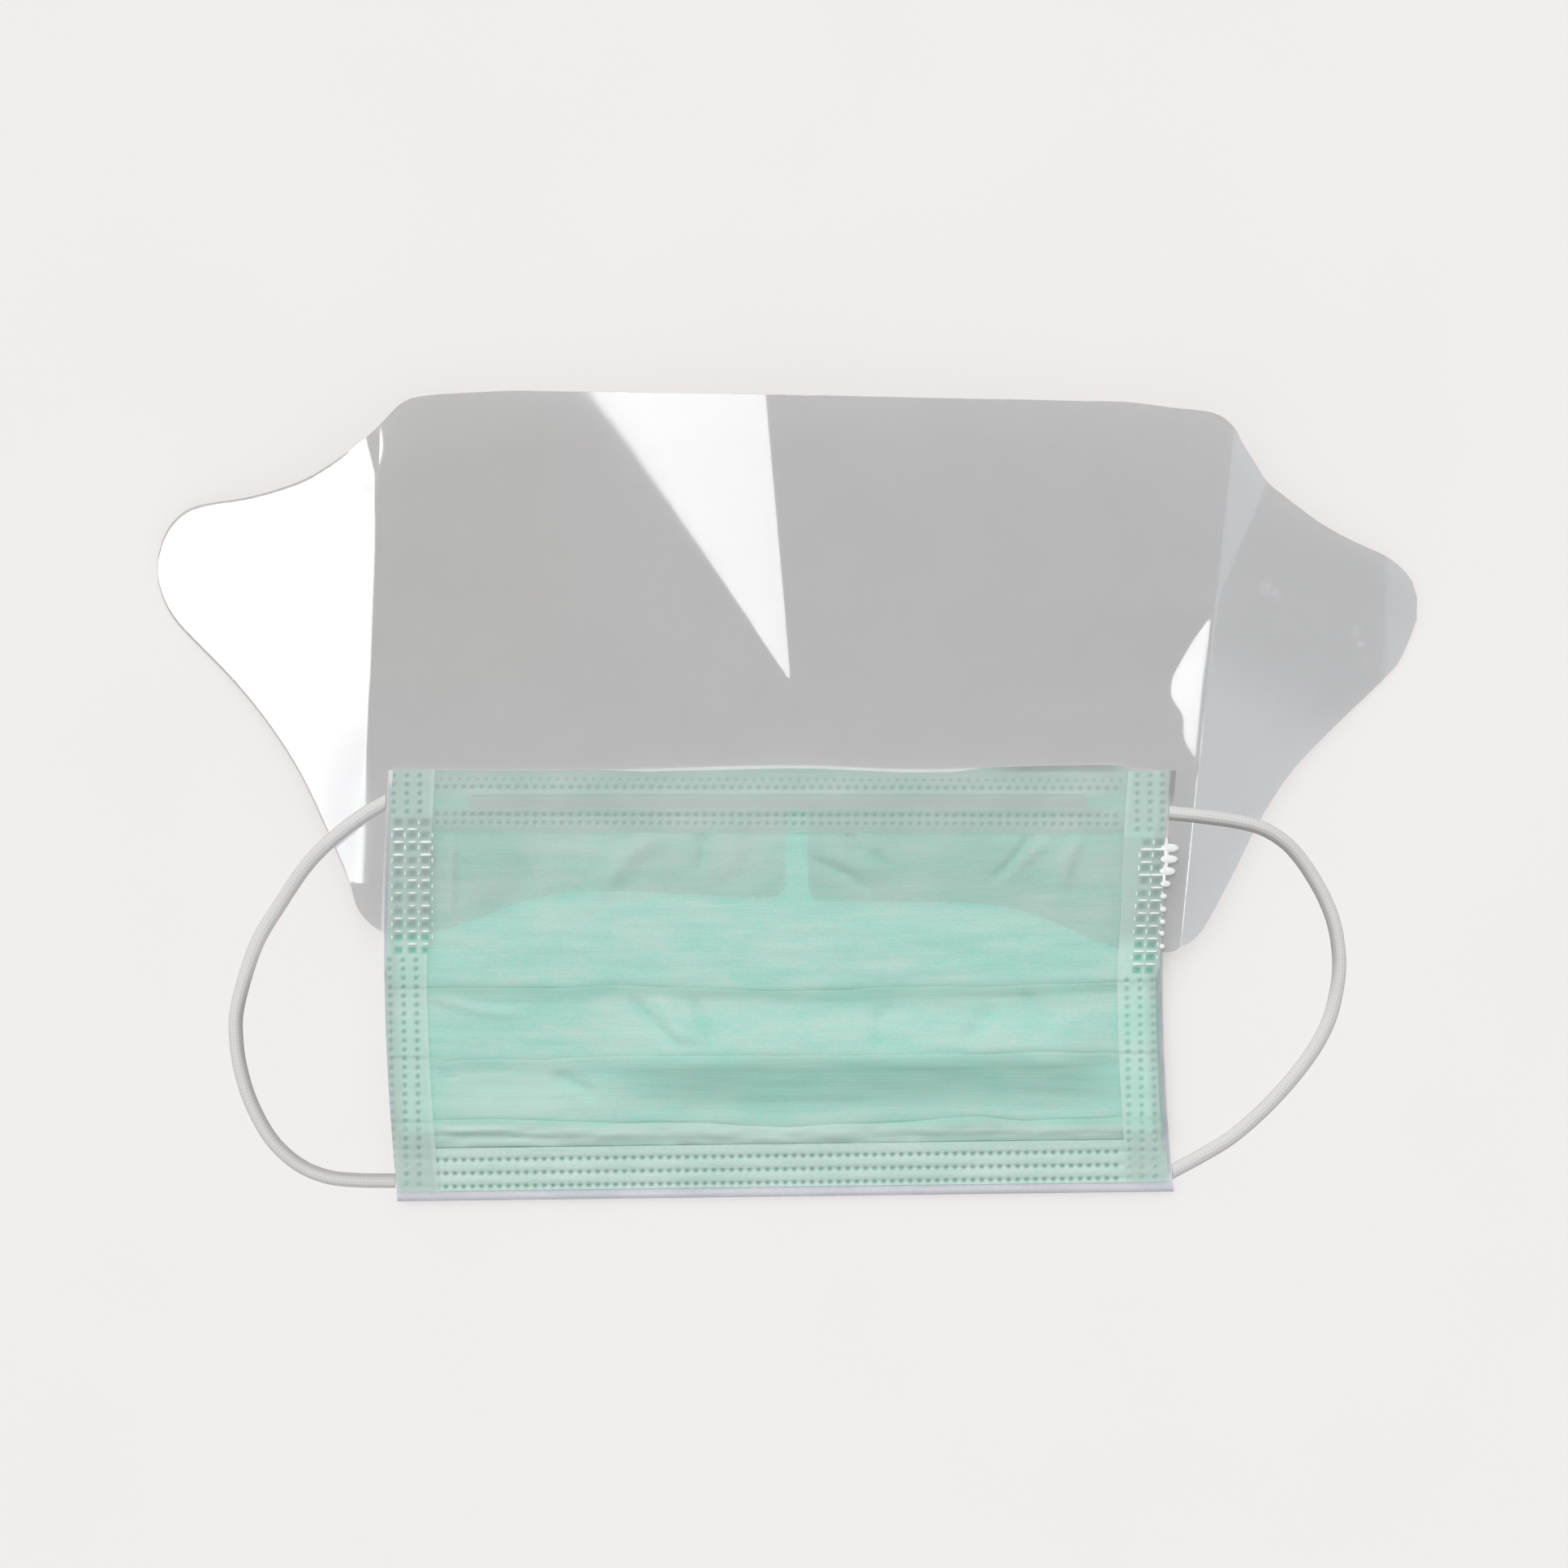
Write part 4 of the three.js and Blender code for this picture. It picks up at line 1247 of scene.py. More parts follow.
cloth_top_hem = finish_ply(top_hem, "cloth_top_hem", "top_hem")
cloth_top_hem.visible_shadow = False

# %% [markdown]
# ## Bottom hem
# The bottom hem is a narrower strip with three rows of dots, pressed so hard that the cloth swells
# into ridges between them. The rows lean with the mask's bottom edge.

# %% Bottom hem
BOTTOM_HEM_WIDTH = 9.6
BOTTOM_HEM_LEVEL = HEM_LEVEL + 0.1
BOTTOM_DOT_ROWS = [0.95, 3.9, 6.9]  # above the hem's lower edge
BOTTOM_ROWS = 36
DENT = {"depth": 0.35, "half": 0.7}  # of the cloth along a row of dots

bottom_hem_cloth = nonwoven("bottom_hem_cloth", "#c8dbd3", "#b2d0c5", "#7c9e91")
u, v = np.meshgrid(np.linspace(0, 1, HEM_COLUMNS), np.linspace(0, 1, BOTTOM_ROWS))
above_edge = BOTTOM_HEM_WIDTH * v
chin_y = bottom_y(u) + SHOWN_BOTTOM + above_edge
chin_x = across_x(u, chin_y, SHOWN_SIDE)
dents = sum(np.exp(-(((above_edge - row) / DENT["half"]) ** 2)) for row in BOTTOM_DOT_ROWS)
chin_z = BOTTOM_HEM_LEVEL - DENT["depth"] * dents
chin_z = chin_z + HEM_RIPPLE * slow_noise(chin_x, chin_y, (9, 5), seed=11.0)
bottom_hem = grid_surface("bottom_hem_grid", chin_x, chin_y, chin_z)
for row in BOTTOM_DOT_ROWS:
    row_y = BOTTOM["left"] + SHOWN_BOTTOM + row + CHIN_RISE * (HEM_DOTS_LEFT - LEFT["bottom"])
    step = (DOT_PITCH, CHIN_RISE * DOT_PITCH)
    press_row(bottom_hem, bottom_hem_cloth, (HEM_DOTS_LEFT, row_y), step, HEM_DOTS_COUNT, **HEM_DOT)
cloth_bottom_hem = finish_ply(bottom_hem, "cloth_bottom_hem", "bottom_hem")
cloth_bottom_hem.visible_shadow = False

# %% [markdown]
# ## Side bands
# A strip of thin cloth closes each side edge. What lies under it shows through, so its finish is half
# clear, and it throws no shadow of its own. It has three columns of dots, and a grid of larger cells where
# the visor is welded in. Above the visor's lower edge a cell is grey, because clear film is melted into
# it, and below that edge it is a deep green, because only cloth is melted.

# %% Band finish
WELD_GREY = "#9fb0a8"
WELD_GREEN = "#6fb89f"
WELD_SHARE = 0.95
BAND_GREY = {"colour": "#bdcac5", "share": 0.8}
BAND_GREY_OUTER = (1.5, 4.0)  # distances from the outer edge over which the grey ends
BAND_GREY_CHIN = (-79, -73)  # heights over which it ends at the chin, and over which it starts at the top
BAND_GREY_TOP = {"y": (-10, -5), "share": 0.7}
BAND_HEM = {"colour": "#d3e2dc", "share": 0.5, "inward": (8.3, 8.7)}
MELTED = {"colour": "#b7c5bf", "share": 0.6}
BAND_ALPHA = 0.45
FILM_EDGE_AT_BAND = {"left": -31.5, "right": -33.0}
CELL_TOPS = {"left": -5.9, "right": -10.4}  # middle of the first row of cells


def weld_tint(film_edge, cell_top):
    """Grey a band at its outer edge and its two ends, and colour its cells by what is melted there."""

    def tint(graph, place, colour):
        _, y, _ = graph.split(place)
        inward = graph.attribute("inward")
        outer = 1 - graph.step(inward, *in_metres(BAND_GREY_OUTER))
        chin = 1 - graph.step(y, *in_metres(BAND_GREY_CHIN))
        top = BAND_GREY_TOP["share"] * graph.step(y, *in_metres(BAND_GREY_TOP["y"]))
        grey = graph.math("MAXIMUM", outer, graph.math("MAXIMUM", chin, top))
        colour = graph.mix(BAND_GREY["share"] * grey, colour, screen_colour(BAND_GREY["colour"]))
        inner_hem = graph.step(inward, *in_metres(BAND_HEM["inward"]))
        colour = graph.mix(BAND_HEM["share"] * inner_hem, colour, screen_colour(BAND_HEM["colour"]))
        melted = graph.plateau(y, *in_metres((film_edge - 1, film_edge + 3, cell_top + 1, cell_top + 2)))
        colour = graph.mix(MELTED["share"] * melted, colour, screen_colour(MELTED["colour"]))
        on_film = graph.step(y, *in_metres((film_edge - 1, film_edge + 4)))
        cell = graph.mix(on_film, screen_colour(WELD_GREEN), screen_colour(WELD_GREY))
        return graph.mix(WELD_SHARE * graph.attribute("welded"), colour, cell)

    return tint


left_tint = weld_tint(FILM_EDGE_AT_BAND["left"], CELL_TOPS["left"])
right_tint = weld_tint(FILM_EDGE_AT_BAND["right"], CELL_TOPS["right"])
band_cloths = {
    "left": nonwoven("left_band_cloth", "#d2e2dc", "#bddbd1", "#8cafa3", left_tint, BAND_ALPHA),
    "right": nonwoven("right_band_cloth", "#d4e8e1", "#bde2d7", "#a0c0b4", right_tint, BAND_ALPHA),
}
print("band finishes:", [cloth.name for cloth in band_cloths.values()])

# %% Level of the bands
BAND_LEVELS = [(-92.0, 3.8), (-81.0, 3.95), (-75.0, 5.15), (-42.5, 5.2), (-36.5, 5.85), (10.0, 5.85)]
PLEAT_SHOW = 0.3  # step of a pleat seen through the band
PLEAT_SHOW_SPAN = (-9, -1, -0.2, 0.6)  # heights over a pleat's edge at which the step starts and ends


def band_level(y, side):
    """Height of a band's middle surface: over the film, the pleats and the bottom hem."""
    level = np.interp(y, *zip(*BAND_LEVELS))
    for pleat in PLEATS:
        edge = pleat_y(pleat, LEFT["top"] if side == "left" else RIGHT["top"])
        level = level - PLEAT_SHOW * plateau(y - edge, *PLEAT_SHOW_SPAN)
    return level


print("bands lie", BAND_LEVELS[0][1], "to", BAND_LEVELS[-1][1], "mm high")

# %% Grids of the bands
BANDS = {
    "left": {
        "inset": {"top": 1.0, "bottom": 0.3},
        "dots": [-88.1, -85.1, -82.2],
        "low_dots": [-89.0, -86.0, -83.1],
        "cells": [-87.0, -83.9, -80.9],
        "cell_lean": 0.0,
        "bar": 2.9,
    },
    "right": {
        "inset": {"top": 0.25, "bottom": 0.9},
        "dots": [78.2, 81.1, 83.9],
        "low_dots": [75.9, 78.8, 81.7],
        "cells": [80.4, 83.2],
        "cell_lean": -0.23,
        "bar": 3.5,
    },
}
BAND_WIDTH = 9.4
BAND_ROWS = 350
BAND_COLUMNS = 42
BAND_RIPPLE = 0.08
INSET_CHANGES = (-42, -24)  # heights between which a band's inset changes
BAND_EDGE_LEVEL = 2.65  # of a band's outer edge below the film, where it closes the folds
BAND_EDGE_SPAN = (-82, -76, -42, -38)  # heights between which it does


def band_surface(side):
    """The band's one-sided grid, whose points know how far inward from the outer edge they lie."""
    edge_u = 0 if side == "left" else 1
    u, v = np.meshgrid(np.linspace(0, 1, BAND_COLUMNS), np.linspace(0, 1, BAND_ROWS))
    y = between(bottom_y(edge_u) + SHOWN_BOTTOM, top_y(edge_u), v)
    inset = BANDS[side]["inset"]
    inset = between(inset["bottom"], inset["top"], smooth_step(y, *INSET_CHANGES))
    inward = (u if side == "left" else 1 - u) * BAND_WIDTH
    x = across_x(edge_u, y, inset) + (inward if side == "left" else -inward)
    z = band_level(y, side) + BAND_RIPPLE * slow_noise(x, y, (5, 9), seed=4.0)
    falls = plateau(y, *BAND_EDGE_SPAN) * (1 - smooth_step(inward, 0, SIDE_FALL))
    z = between(z, BAND_EDGE_LEVEL, falls)
    source = grid_surface("band_grid_" + side, x, y, z)
    distance = source.data.attributes.new("inward", "FLOAT", "POINT")
    distance.data.foreach_set("value", inward.ravel() * MM)
    return source


print("bands", BAND_WIDTH, "mm wide")

# %% Make the bands
BAND_CLOTH = 0.4
BAND_DOT = {"half": (0.7, 0.7), "depth": 0.35, "squareness": 2.5}
BAND_DOT_TOP = 4.6
BAND_DOT_BOTTOM = -87.0
LOW_DOT_LEAN = 0.03
CELL = {"half": (1.25, 1.0), "depth": 0.35, "squareness": 6.0, "mark": "welded"}
CELL_PITCH = 2.85
CELL_ROWS = 11
ABOVE_CELLS = 0.4  # the last dot above the cells is at least a dot's pitch and this away from them
LOW_DOTS_UP = 0.6  # the first dot below them is this much higher than one more row of cells would be


def add_band(side):
    """A side band with its dots and weld cells."""
    facts = BANDS[side]
    cloth = band_cloths[side]
    source = band_surface(side)
    cell_top = CELL_TOPS[side]
    low_top = cell_top - CELL_PITCH * CELL_ROWS + LOW_DOTS_UP
    above = int((BAND_DOT_TOP - cell_top - ABOVE_CELLS) / DOT_PITCH)
    below = 1 + int((low_top - BAND_DOT_BOTTOM) / DOT_PITCH)
    for x in facts["dots"]:
        press_row(source, cloth, (x, BAND_DOT_TOP), (0, -DOT_PITCH), above, **BAND_DOT)
    for x in facts["low_dots"]:
        press_row(source, cloth, (x, low_top), (LOW_DOT_LEAN, -DOT_PITCH), below, **BAND_DOT)
    for x in facts["cells"]:
        press_row(source, cloth, (x, cell_top), (facts["cell_lean"], -CELL_PITCH), CELL_ROWS, **CELL)
    band = finish_ply(source, "band_" + side, "side_band_" + side, BAND_CLOTH)
    band.visible_shadow = False
    return band


band_left = add_band("left")
band_right = add_band("right")

# %% [markdown]
# ## Weld beads
# Where the toothed tool melts the film, clear plastic is squeezed out between its teeth and sets as small
# shiny beads: bars under each row of cells, short marks between the cells, and drops past the right edge.
# They repeat along the grid, so a tree puts a stretched ball on each point of a point cloud. Every point
# carries its own size, and a fixed seed leaves some of them out and varies the rest.

# %% Bead finish
BEAD_CLOUD = (1.5, 1.5, 1.5)

bead_material, graph, place = new_material("melted_film")
bead_cloud = grain(graph, place, BEAD_CLOUD)
# their pale base is partly the melted film's own white and partly a painted glint
bead_sockets = {
    "Base Color": graph.mix(bead_cloud, screen_colour("#f6f8f8"), screen_colour("#dfe6e3")),
    "Roughness": 0.15 + 0.15 * bead_cloud,
    "Normal": bump(graph, bead_cloud, 0.05),
    "Coat Weight": 0.6,
}
set_surface(graph, bead_sockets)
print("bead finish:", bead_material.name)

# %% Tree that sets the beads
BEAD_SEED = 7
bead_inputs = {
    "Keep": ("Float", 0.8),
    "Vary": ("Float", 0.35),
    "Seed": ("Int", BEAD_SEED),
    "Material": ("Material", None),
}
graph, wires = new_tree("weld_beads", bead_inputs)
swell = graph.add(
    "FunctionNodeRandomValue",
    {"data_type": "FLOAT"},
    {"Min_001": 1 - wires["Vary"], "Max_001": 1.0, "Seed": wires["Seed"]},
    "Value_001",
)
kept = graph.add(
    "FunctionNodeRandomValue",
    {"data_type": "BOOLEAN"},
    {"Probability": wires["Keep"], "Seed": wires["Seed"] + 1},
    "Value_003",
)
own_size = graph.stored("size", "FLOAT_VECTOR")
scale = graph.add("ShaderNodeVectorMath", {"operation": "SCALE"}, {"Vector": own_size, "Scale": swell})
ball = graph.add("GeometryNodeMeshIcoSphere", sockets={"Radius": 0.5, "Subdivisions": 3}, out="Mesh")
beads = graph.add(
    "GeometryNodeInstanceOnPoints",
    sockets={"Points": wires["Geometry"], "Selection": kept, "Instance": ball, "Scale": scale},
)
close_tree(graph, beads, wires["Material"])
bead_tree = graph.tree
print(len(bead_tree.nodes), "nodes in the bead tree")

# %% Make the beads
BEAD_RISE = 0.2  # of a bead's middle over the band's middle surface
STRONG_ROWS = 3  # rows from the top with full-size beads
WEAK = 0.8  # size of the beads below them
BAR = {"height": 0.68, "thickness": 0.5}  # between two rows of cells
MARK = {"aside": 1.45, "up": 0.1, "width": 0.5, "height": 1.5, "thickness": 0.45}  # beside a cell


def bead_points(side):
    """Places and sizes of a band's bars and of the marks between its cells, in millimetres."""
    facts = BANDS[side]
    places, sizes = [], []
    for row in range(CELL_ROWS - 1):
        y = CELL_TOPS[side] - CELL_PITCH * row
        strong = 1.0 if row < STRONG_ROWS else WEAK
        columns = [x + facts["cell_lean"] * row for x in facts["cells"]]
        for x in columns:
            places.append((x, y - CELL_PITCH / 2))
            sizes.append((facts["bar"] * strong, BAR["height"] * strong, BAR["thickness"]))
        for x in [columns[0] - MARK["aside"]] + [x + MARK["aside"] for x in columns]:
            places.append((x, y + MARK["up"]))
            sizes.append((MARK["width"] * strong, MARK["height"] * strong, MARK["thickness"]))
    return places, sizes


def add_beads(name, places, sizes, keep, vary):
    """Set beads on a band at places (x, y), with sizes along the three axes."""
    xs, ys = np.array(places).T
    zs = np.interp(ys, *zip(*BAND_LEVELS)) + BEAD_RISE
    mesh = bpy.data.meshes.new(name + "_points")
    mesh.from_pydata((np.stack([xs, ys, zs], axis=1) * MM).tolist(), [], [])
    size = mesh.attributes.new("size", "FLOAT_VECTOR", "POINT")
    size.data.foreach_set("vector", (np.array(sizes) * MM).ravel())
    source = link_piece(name + "_points", mesh)
    add_tree(source, bead_tree, keep=keep, vary=vary, seed=BEAD_SEED, material=bead_material)
    piece = as_plain_mesh(source, name)
    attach(piece, "root")


# Two runs of melted film along the right edge, and drops past it: height, and how far each reaches
RIGHT_RUNS = [
    {"place": (84.7, -12.6), "size": (1.1, 7.5, 0.6)},
    {"place": (84.2, -17.5), "size": (0.8, 5.0, 0.5)},
]
RIGHT_DROPS = [
    (-11.5, 3.1), (-14.0, 3.0), (-16.7, 2.5), (-19.5, 1.8), (-22.3, 1.2), (-25.2, 1.1), (-28.0, 1.0),
    (-30.6, 0.8), (-33.5, 0.9),
]
DROP = {"inside": 0.8, "length": 1.45, "least_width": 0.9, "width": 0.4, "thickness": 0.8}
drop_places = [run["place"] for run in RIGHT_RUNS]
drop_sizes = [run["size"] for run in RIGHT_RUNS]
for y, reach in RIGHT_DROPS:
    edge = float(side_x(RIGHT, 1, y)) - DROP["inside"]
    drop_places.append((edge + reach / 2, y))
    width = DROP["least_width"] + DROP["width"] * reach
    drop_sizes.append((reach * DROP["length"], width, DROP["thickness"]))
add_beads("weld_beads_left", *bead_points("left"), keep=0.85, vary=0.35)
add_beads("weld_beads_right", *bead_points("right"), keep=0.9, vary=0.25)
add_beads("weld_drops_right", drop_places, drop_sizes, keep=1.0, vary=0.1)
print(len(drop_places), "runs and drops past the right edge")

# %% [markdown]
# ## Visor: outline
# The visor is one sheet of clear film. Its outline comes from the CAD solid, so the two can't drift
# apart: the rim of the solid's upward faces is walked once round, and a curve through it smooths the
# corners of the solid. Columns of points then run from the lower edge to the upper one.

# %% Outline of the visor
SAME_POINT = 0.01
UPWARD = 0.5  # least rise of an upward face's normal


def upper_rim(node):
    """The loop of (x, y) points, in millimetres, round the upward faces of a CAD solid."""
    solid = bmesh.new()
    solid.from_mesh(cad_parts[node].data)
    bmesh.ops.remove_doubles(solid, verts=solid.verts, dist=SAME_POINT * MM)
    upward = {face for face in solid.faces if face.normal.z > UPWARD}
    rim = [edge for edge in solid.edges if sum(face in upward for face in edge.link_faces) == 1]
    neighbours = {}
    for edge in rim:
        first, second = edge.verts
        neighbours.setdefault(first, []).append(second)
        neighbours.setdefault(second, []).append(first)
    loop = [rim[0].verts[0], rim[0].verts[1]]
    while len(loop) < len(rim):
        loop.append(next(vert for vert in neighbours[loop[-1]] if vert is not loop[-2]))
    points = np.array([vert.co.to_tuple()[:2] for vert in loop]) / MM
    solid.free()
    return points


film_rim = smooth_line(upper_rim("visor_film"), steps=4, closed=True)
print(len(film_rim), "points round the visor")

# %% Columns from the lower to the upper edge
# Where each run of columns starts, and how far apart its columns are
COLUMN_RUNS = [
    (-141.0, 1.1), (-97.0, 0.35), (-90.0, 1.0), (-8.0, 0.35), (6.0, 1.0), (83.0, 0.5), (91.5, 0.25),
    (96.0, 0.5), (102.0, 1.1),
]
LAST_COLUMN = 141.0
CREASE_LEFT = {"low": (-95.8, -25.7), "high": (-91.2, 82.6), "slope": 0.147}
CREASE_RIGHT = {"low": (87.8, -33.5), "high": (99.2, 82.4), "slope": 0.134}
UPRIGHT_AT = 25.0  # height at which a column that leans with a crease stands in its own place
LOW_FILM_ROWS = 36
HIGH_FILM_ROWS = 90
INSIDE_AT_LEFT, INSIDE_AT_RIGHT = 50.9, 42.1  # heights that are inside the film at its two tips
ARCHES = [(-84.0, -3.0), (8.0, 84.0)]  # spans of the lower edge that are cut in one smooth curve
ARCH_SMOOTHING = 9.0  # width over which an arch is smoothed, and length over which this starts at its ends
ARCH_ENDS = 8
LEAN_REACH = (3, 45)  # distances from a crease over which the columns come to stand upright
LEAN_ROUNDS = 4  # rounds in which the edges of the leaning columns are found
EDGE_STEPS = np.array([0, 0.18, 0.4, 0.7])  # distances of the rows that follow the cut edge
EVEN_FROM = 4.0  # above this height the rows no longer follow the slot
LEAST_LOW_BLOCK = 3.0  # least height of the rows below that, over those at the cut edge


def film_columns():
    """X of every column."""
    starts = [start for start, spacing in COLUMN_RUNS] + [LAST_COLUMN]
    runs = []
    for (start, spacing), end in zip(COLUMN_RUNS, starts[1:]):
        runs.append(np.linspace(start, end, round((end - start) / spacing), endpoint=False))
    return np.concatenate([*runs, [LAST_COLUMN]])


def film_edges(x):
    """Lower and upper edge of the film at x."""
    ahead = np.roll(film_rim, -1, axis=0)
    crosses = (film_rim[:, 0] - x) * (ahead[:, 0] - x) <= 0
    first, second = film_rim[crosses], ahead[crosses]
    wide = np.abs(second[:, 0] - first[:, 0]) > 1e-9
    first, second = first[wide], second[wide]
    y = between(first[:, 1], second[:, 1], (x - first[:, 0]) / (second[:, 0] - first[:, 0]))
    inside = between(INSIDE_AT_LEFT, INSIDE_AT_RIGHT, (x + LAST_COLUMN) / (2 * LAST_COLUMN))
    return y[y < inside].max(), y[y > inside].min()


def crease_x(crease, y):
    (low_x, low_y), (high_x, high_y) = crease["low"], crease["high"]
    return between(low_x, high_x, (y - low_y) / (high_y - low_y))


def leaning_x(x, y):
    """X of a column at height y: near a crease the columns lean with it."""
    leaning = x
    for crease in (CREASE_LEFT, CREASE_RIGHT):
        upright = crease_x(crease, UPRIGHT_AT)
        near = 1 - smooth_step(np.abs(x - upright), *LEAN_REACH)
        leaning = leaning + (crease_x(crease, y) - upright) * near
    return leaning


columns = film_columns()
edges = np.array([film_edges(x) for x in columns])
for _ in range(LEAN_ROUNDS):
    leaning = leaning_x(columns[:, None], edges)
    edges = np.array([(film_edges(low_x)[0], film_edges(high_x)[1]) for low_x, high_x in leaning])
for start, end in ARCHES:
    on_arch = (columns > start) & (columns < end)
    arch_x, arch_y = columns[on_arch], edges[on_arch, 0]
    nearness = np.exp(-(((arch_x[:, None] - arch_x) / ARCH_SMOOTHING) ** 2))
    smoothed = nearness @ arch_y / nearness.sum(axis=1)
    from_ends = np.minimum(arch_x - start, end - arch_x)
    edges[on_arch, 0] = between(arch_y, smoothed, smooth_step(from_ends, 0, ARCH_ENDS))
low_rows = edges[:, 0] + EDGE_STEPS[:, None]
high_rows = edges[:, 1] - EDGE_STEPS[::-1, None]
halfway = np.minimum(np.maximum(EVEN_FROM, low_rows[-1] + LEAST_LOW_BLOCK), edges.mean(axis=1))
low_block = between(low_rows[-1], halfway, np.linspace(0, 1, LOW_FILM_ROWS)[1:-1, None])
high_block = between(halfway, high_rows[0], np.linspace(0, 1, HIGH_FILM_ROWS)[:-1, None])
film_y = np.concatenate([low_rows, low_block, high_block, high_rows])
film_x = leaning_x(columns, film_y)
print(film_x.shape, "points on the film")

# %% [markdown]
# ## Visor: shape
# The film lies level on the mask, lifts towards its top edge and folds down at two creases, so its wings
# lean to the table. It also buckles: from a point above the mask a cone opens upwards, whose right side is
# a ridge and whose face leans left. That face mirrors the softbox, which makes the white fan, and so
# does the left wing. A low swelling beside the right crease makes the third highlight.

# %% Height of the film
FILM = 0.3
FILM_LEVEL = 5.35
LIFT_START, LIFT_END, LIFT_HEIGHT = 6, 90.5, 10
CREASE_ROUND = 0.3
BUCKLE_POINT = np.array((1.2, 23.9))
BUCKLE_RIDGE = np.array((-2.6, 89.4))
FAN_LEAN = 0.115
RIDGE_ROUND = 0.05  # radians over which the fan's lean starts at its ridge
FAN_ANGLES = (0.45, 0.62)  # radians from the ridge over which it ends
BACK_ANGLES = (0.62, 0.75, 1.05, 1.22)  # where the film starts to rise again, and where it stops
LAST_ANGLE, ANGLE_STEPS = 2.2, 400
POINT_ROUND = 3  # distance over which the cone starts at its point
# Lean of the swelling beside a crease, and its width at heights along the crease
LEFT_SWELL = {"lean": 0.147, "y": (70.5, 74.0, 77.5, 80.5, 83.0), "width": (0.0, 1.0, 1.6, 1.4, 1.0)}
RIGHT_SWELL = {
    "lean": 0.205,
    "y": (5.2, 7.4, 8.8, 11.2, 14.0, 17.0, 18.6, 21.2, 24.0, 27.5, 33.9, 38.2, 41.8),
    "width": (0.0, 1.0, 2.2, 3.9, 4.8, 4.9, 5.9, 7.9, 8.6, 7.9, 5.0, 2.5, 0.0),
}
SOFT_LEAN = 0.09  # lean of the right wing's softer strips
SWELL_ROUND = 0.3  # rounding of a swelling's two edges
SWELL_REACH = 40.0  # distance over which the film comes back beside a swelling
SOFT_CREASE = {"rounding": 4.0, "y": (-8, 14)}  # the left crease is softer at its lower end
EDGE_CURL = {"fall": 0.16, "lower": 0.4, "x": (96, 102)}  # of the left wing's cut edge, less at the lower one
KINK = {"start": 43.6, "spread": 0.334, "bend": 2, "rounding": 0.5}  # second fold, from the right crease up
KINK_LEAN = {"least": 0.3, "y": (5, 40)}  # share of the right wing's lean low down, and where it grows
LEFT_KINK = {"start": 71.3, "spread": 0.3, "bend": 0.5}  # bend of the left wing's fold near the top edge
LEFT_WING_END = (-23.5, -19.0)  # heights over which the left wing starts to lean
TIP_FOLD = {"x": 133.2, "rounding": 0.6}


def past(distance, rounding):
    """The distance where it is positive, otherwise 0, with the corner rounded."""
    return (distance + np.sqrt(distance**2 + rounding**2)) / 2


def buckle(x, y):
    """Height of the cone-shaped buckle."""
    angles = np.linspace(0, LAST_ANGLE, ANGLE_STEPS)
    lean = -FAN_LEAN * smooth_step(angles, 0, RIDGE_ROUND) * (1 - smooth_step(angles, *FAN_ANGLES))
    back = plateau(angles, *BACK_ANGLES)
    fall = np.cumsum(lean - back * lean.sum() / back.sum()) * (angles[1] - angles[0])
    ridge = BUCKLE_RIDGE - BUCKLE_POINT
    away_x, away_y = x - BUCKLE_POINT[0], y - BUCKLE_POINT[1]
    turned = np.arctan2(away_y, away_x) - math.atan2(ridge[1], ridge[0])
    turned = np.where(turned < -math.pi, turned + 2 * math.pi, turned)
    reach = np.hypot(away_x, away_y)
    return reach * np.interp(turned, angles, fall, left=0) * smooth_step(reach, 0, POINT_ROUND)


def swelling(beside, y, swell):
    """Height that the film loses beside a crease: it leans over a width, then comes back slowly."""
    width = np.interp(y, swell["y"], swell["width"], left=0, right=0)
    near = np.maximum(beside, 0)
    back = np.exp(-past(near - width, SWELL_ROUND) / SWELL_REACH)
    return swell["lean"] * (width * back - past(width - near, SWELL_ROUND) + past(-near, SWELL_ROUND))


def right_wing_drop(x, y):
    """How far the right wing falls: gently in its first strip, at its tip and low down, more between."""
    beyond = x - crease_x(CREASE_RIGHT, y)
    kink = beyond - KINK["spread"] * past(y - KINK["start"], KINK["bend"])
    grown = between(KINK_LEAN["least"], 1, smooth_step(y, *KINK_LEAN["y"]))
    more = (CREASE_RIGHT["slope"] - SOFT_LEAN) * grown
    to_tip = past(kink, KINK["rounding"]) - past(x - TIP_FOLD["x"], TIP_FOLD["rounding"])
    return SOFT_LEAN * past(beyond, CREASE_ROUND) + more * to_tip


def film_height(x, y):
    """Height of the film's middle surface."""
    lifted = np.clip((y - LIFT_START) / (LIFT_END - LIFT_START), 0, 1)
    past_left = crease_x(CREASE_LEFT, y) - x
    past_right = x - crease_x(CREASE_RIGHT, y)
    level = FILM_LEVEL + LIFT_HEIGHT * lifted**2 + buckle(x, y)
    rounding = between(SOFT_CREASE["rounding"], CREASE_ROUND, smooth_step(y, *SOFT_CREASE["y"]))
    bent = LEFT_KINK["spread"] * past(y - LEFT_KINK["start"], LEFT_KINK["bend"])
    left_fold = past(past_left - bent, rounding)
    level = level - CREASE_LEFT["slope"] * left_fold * smooth_step(y, *LEFT_WING_END) - right_wing_drop(x, y)
    return level + swelling(-past_left, y, LEFT_SWELL) - swelling(-past_right, y, RIGHT_SWELL)


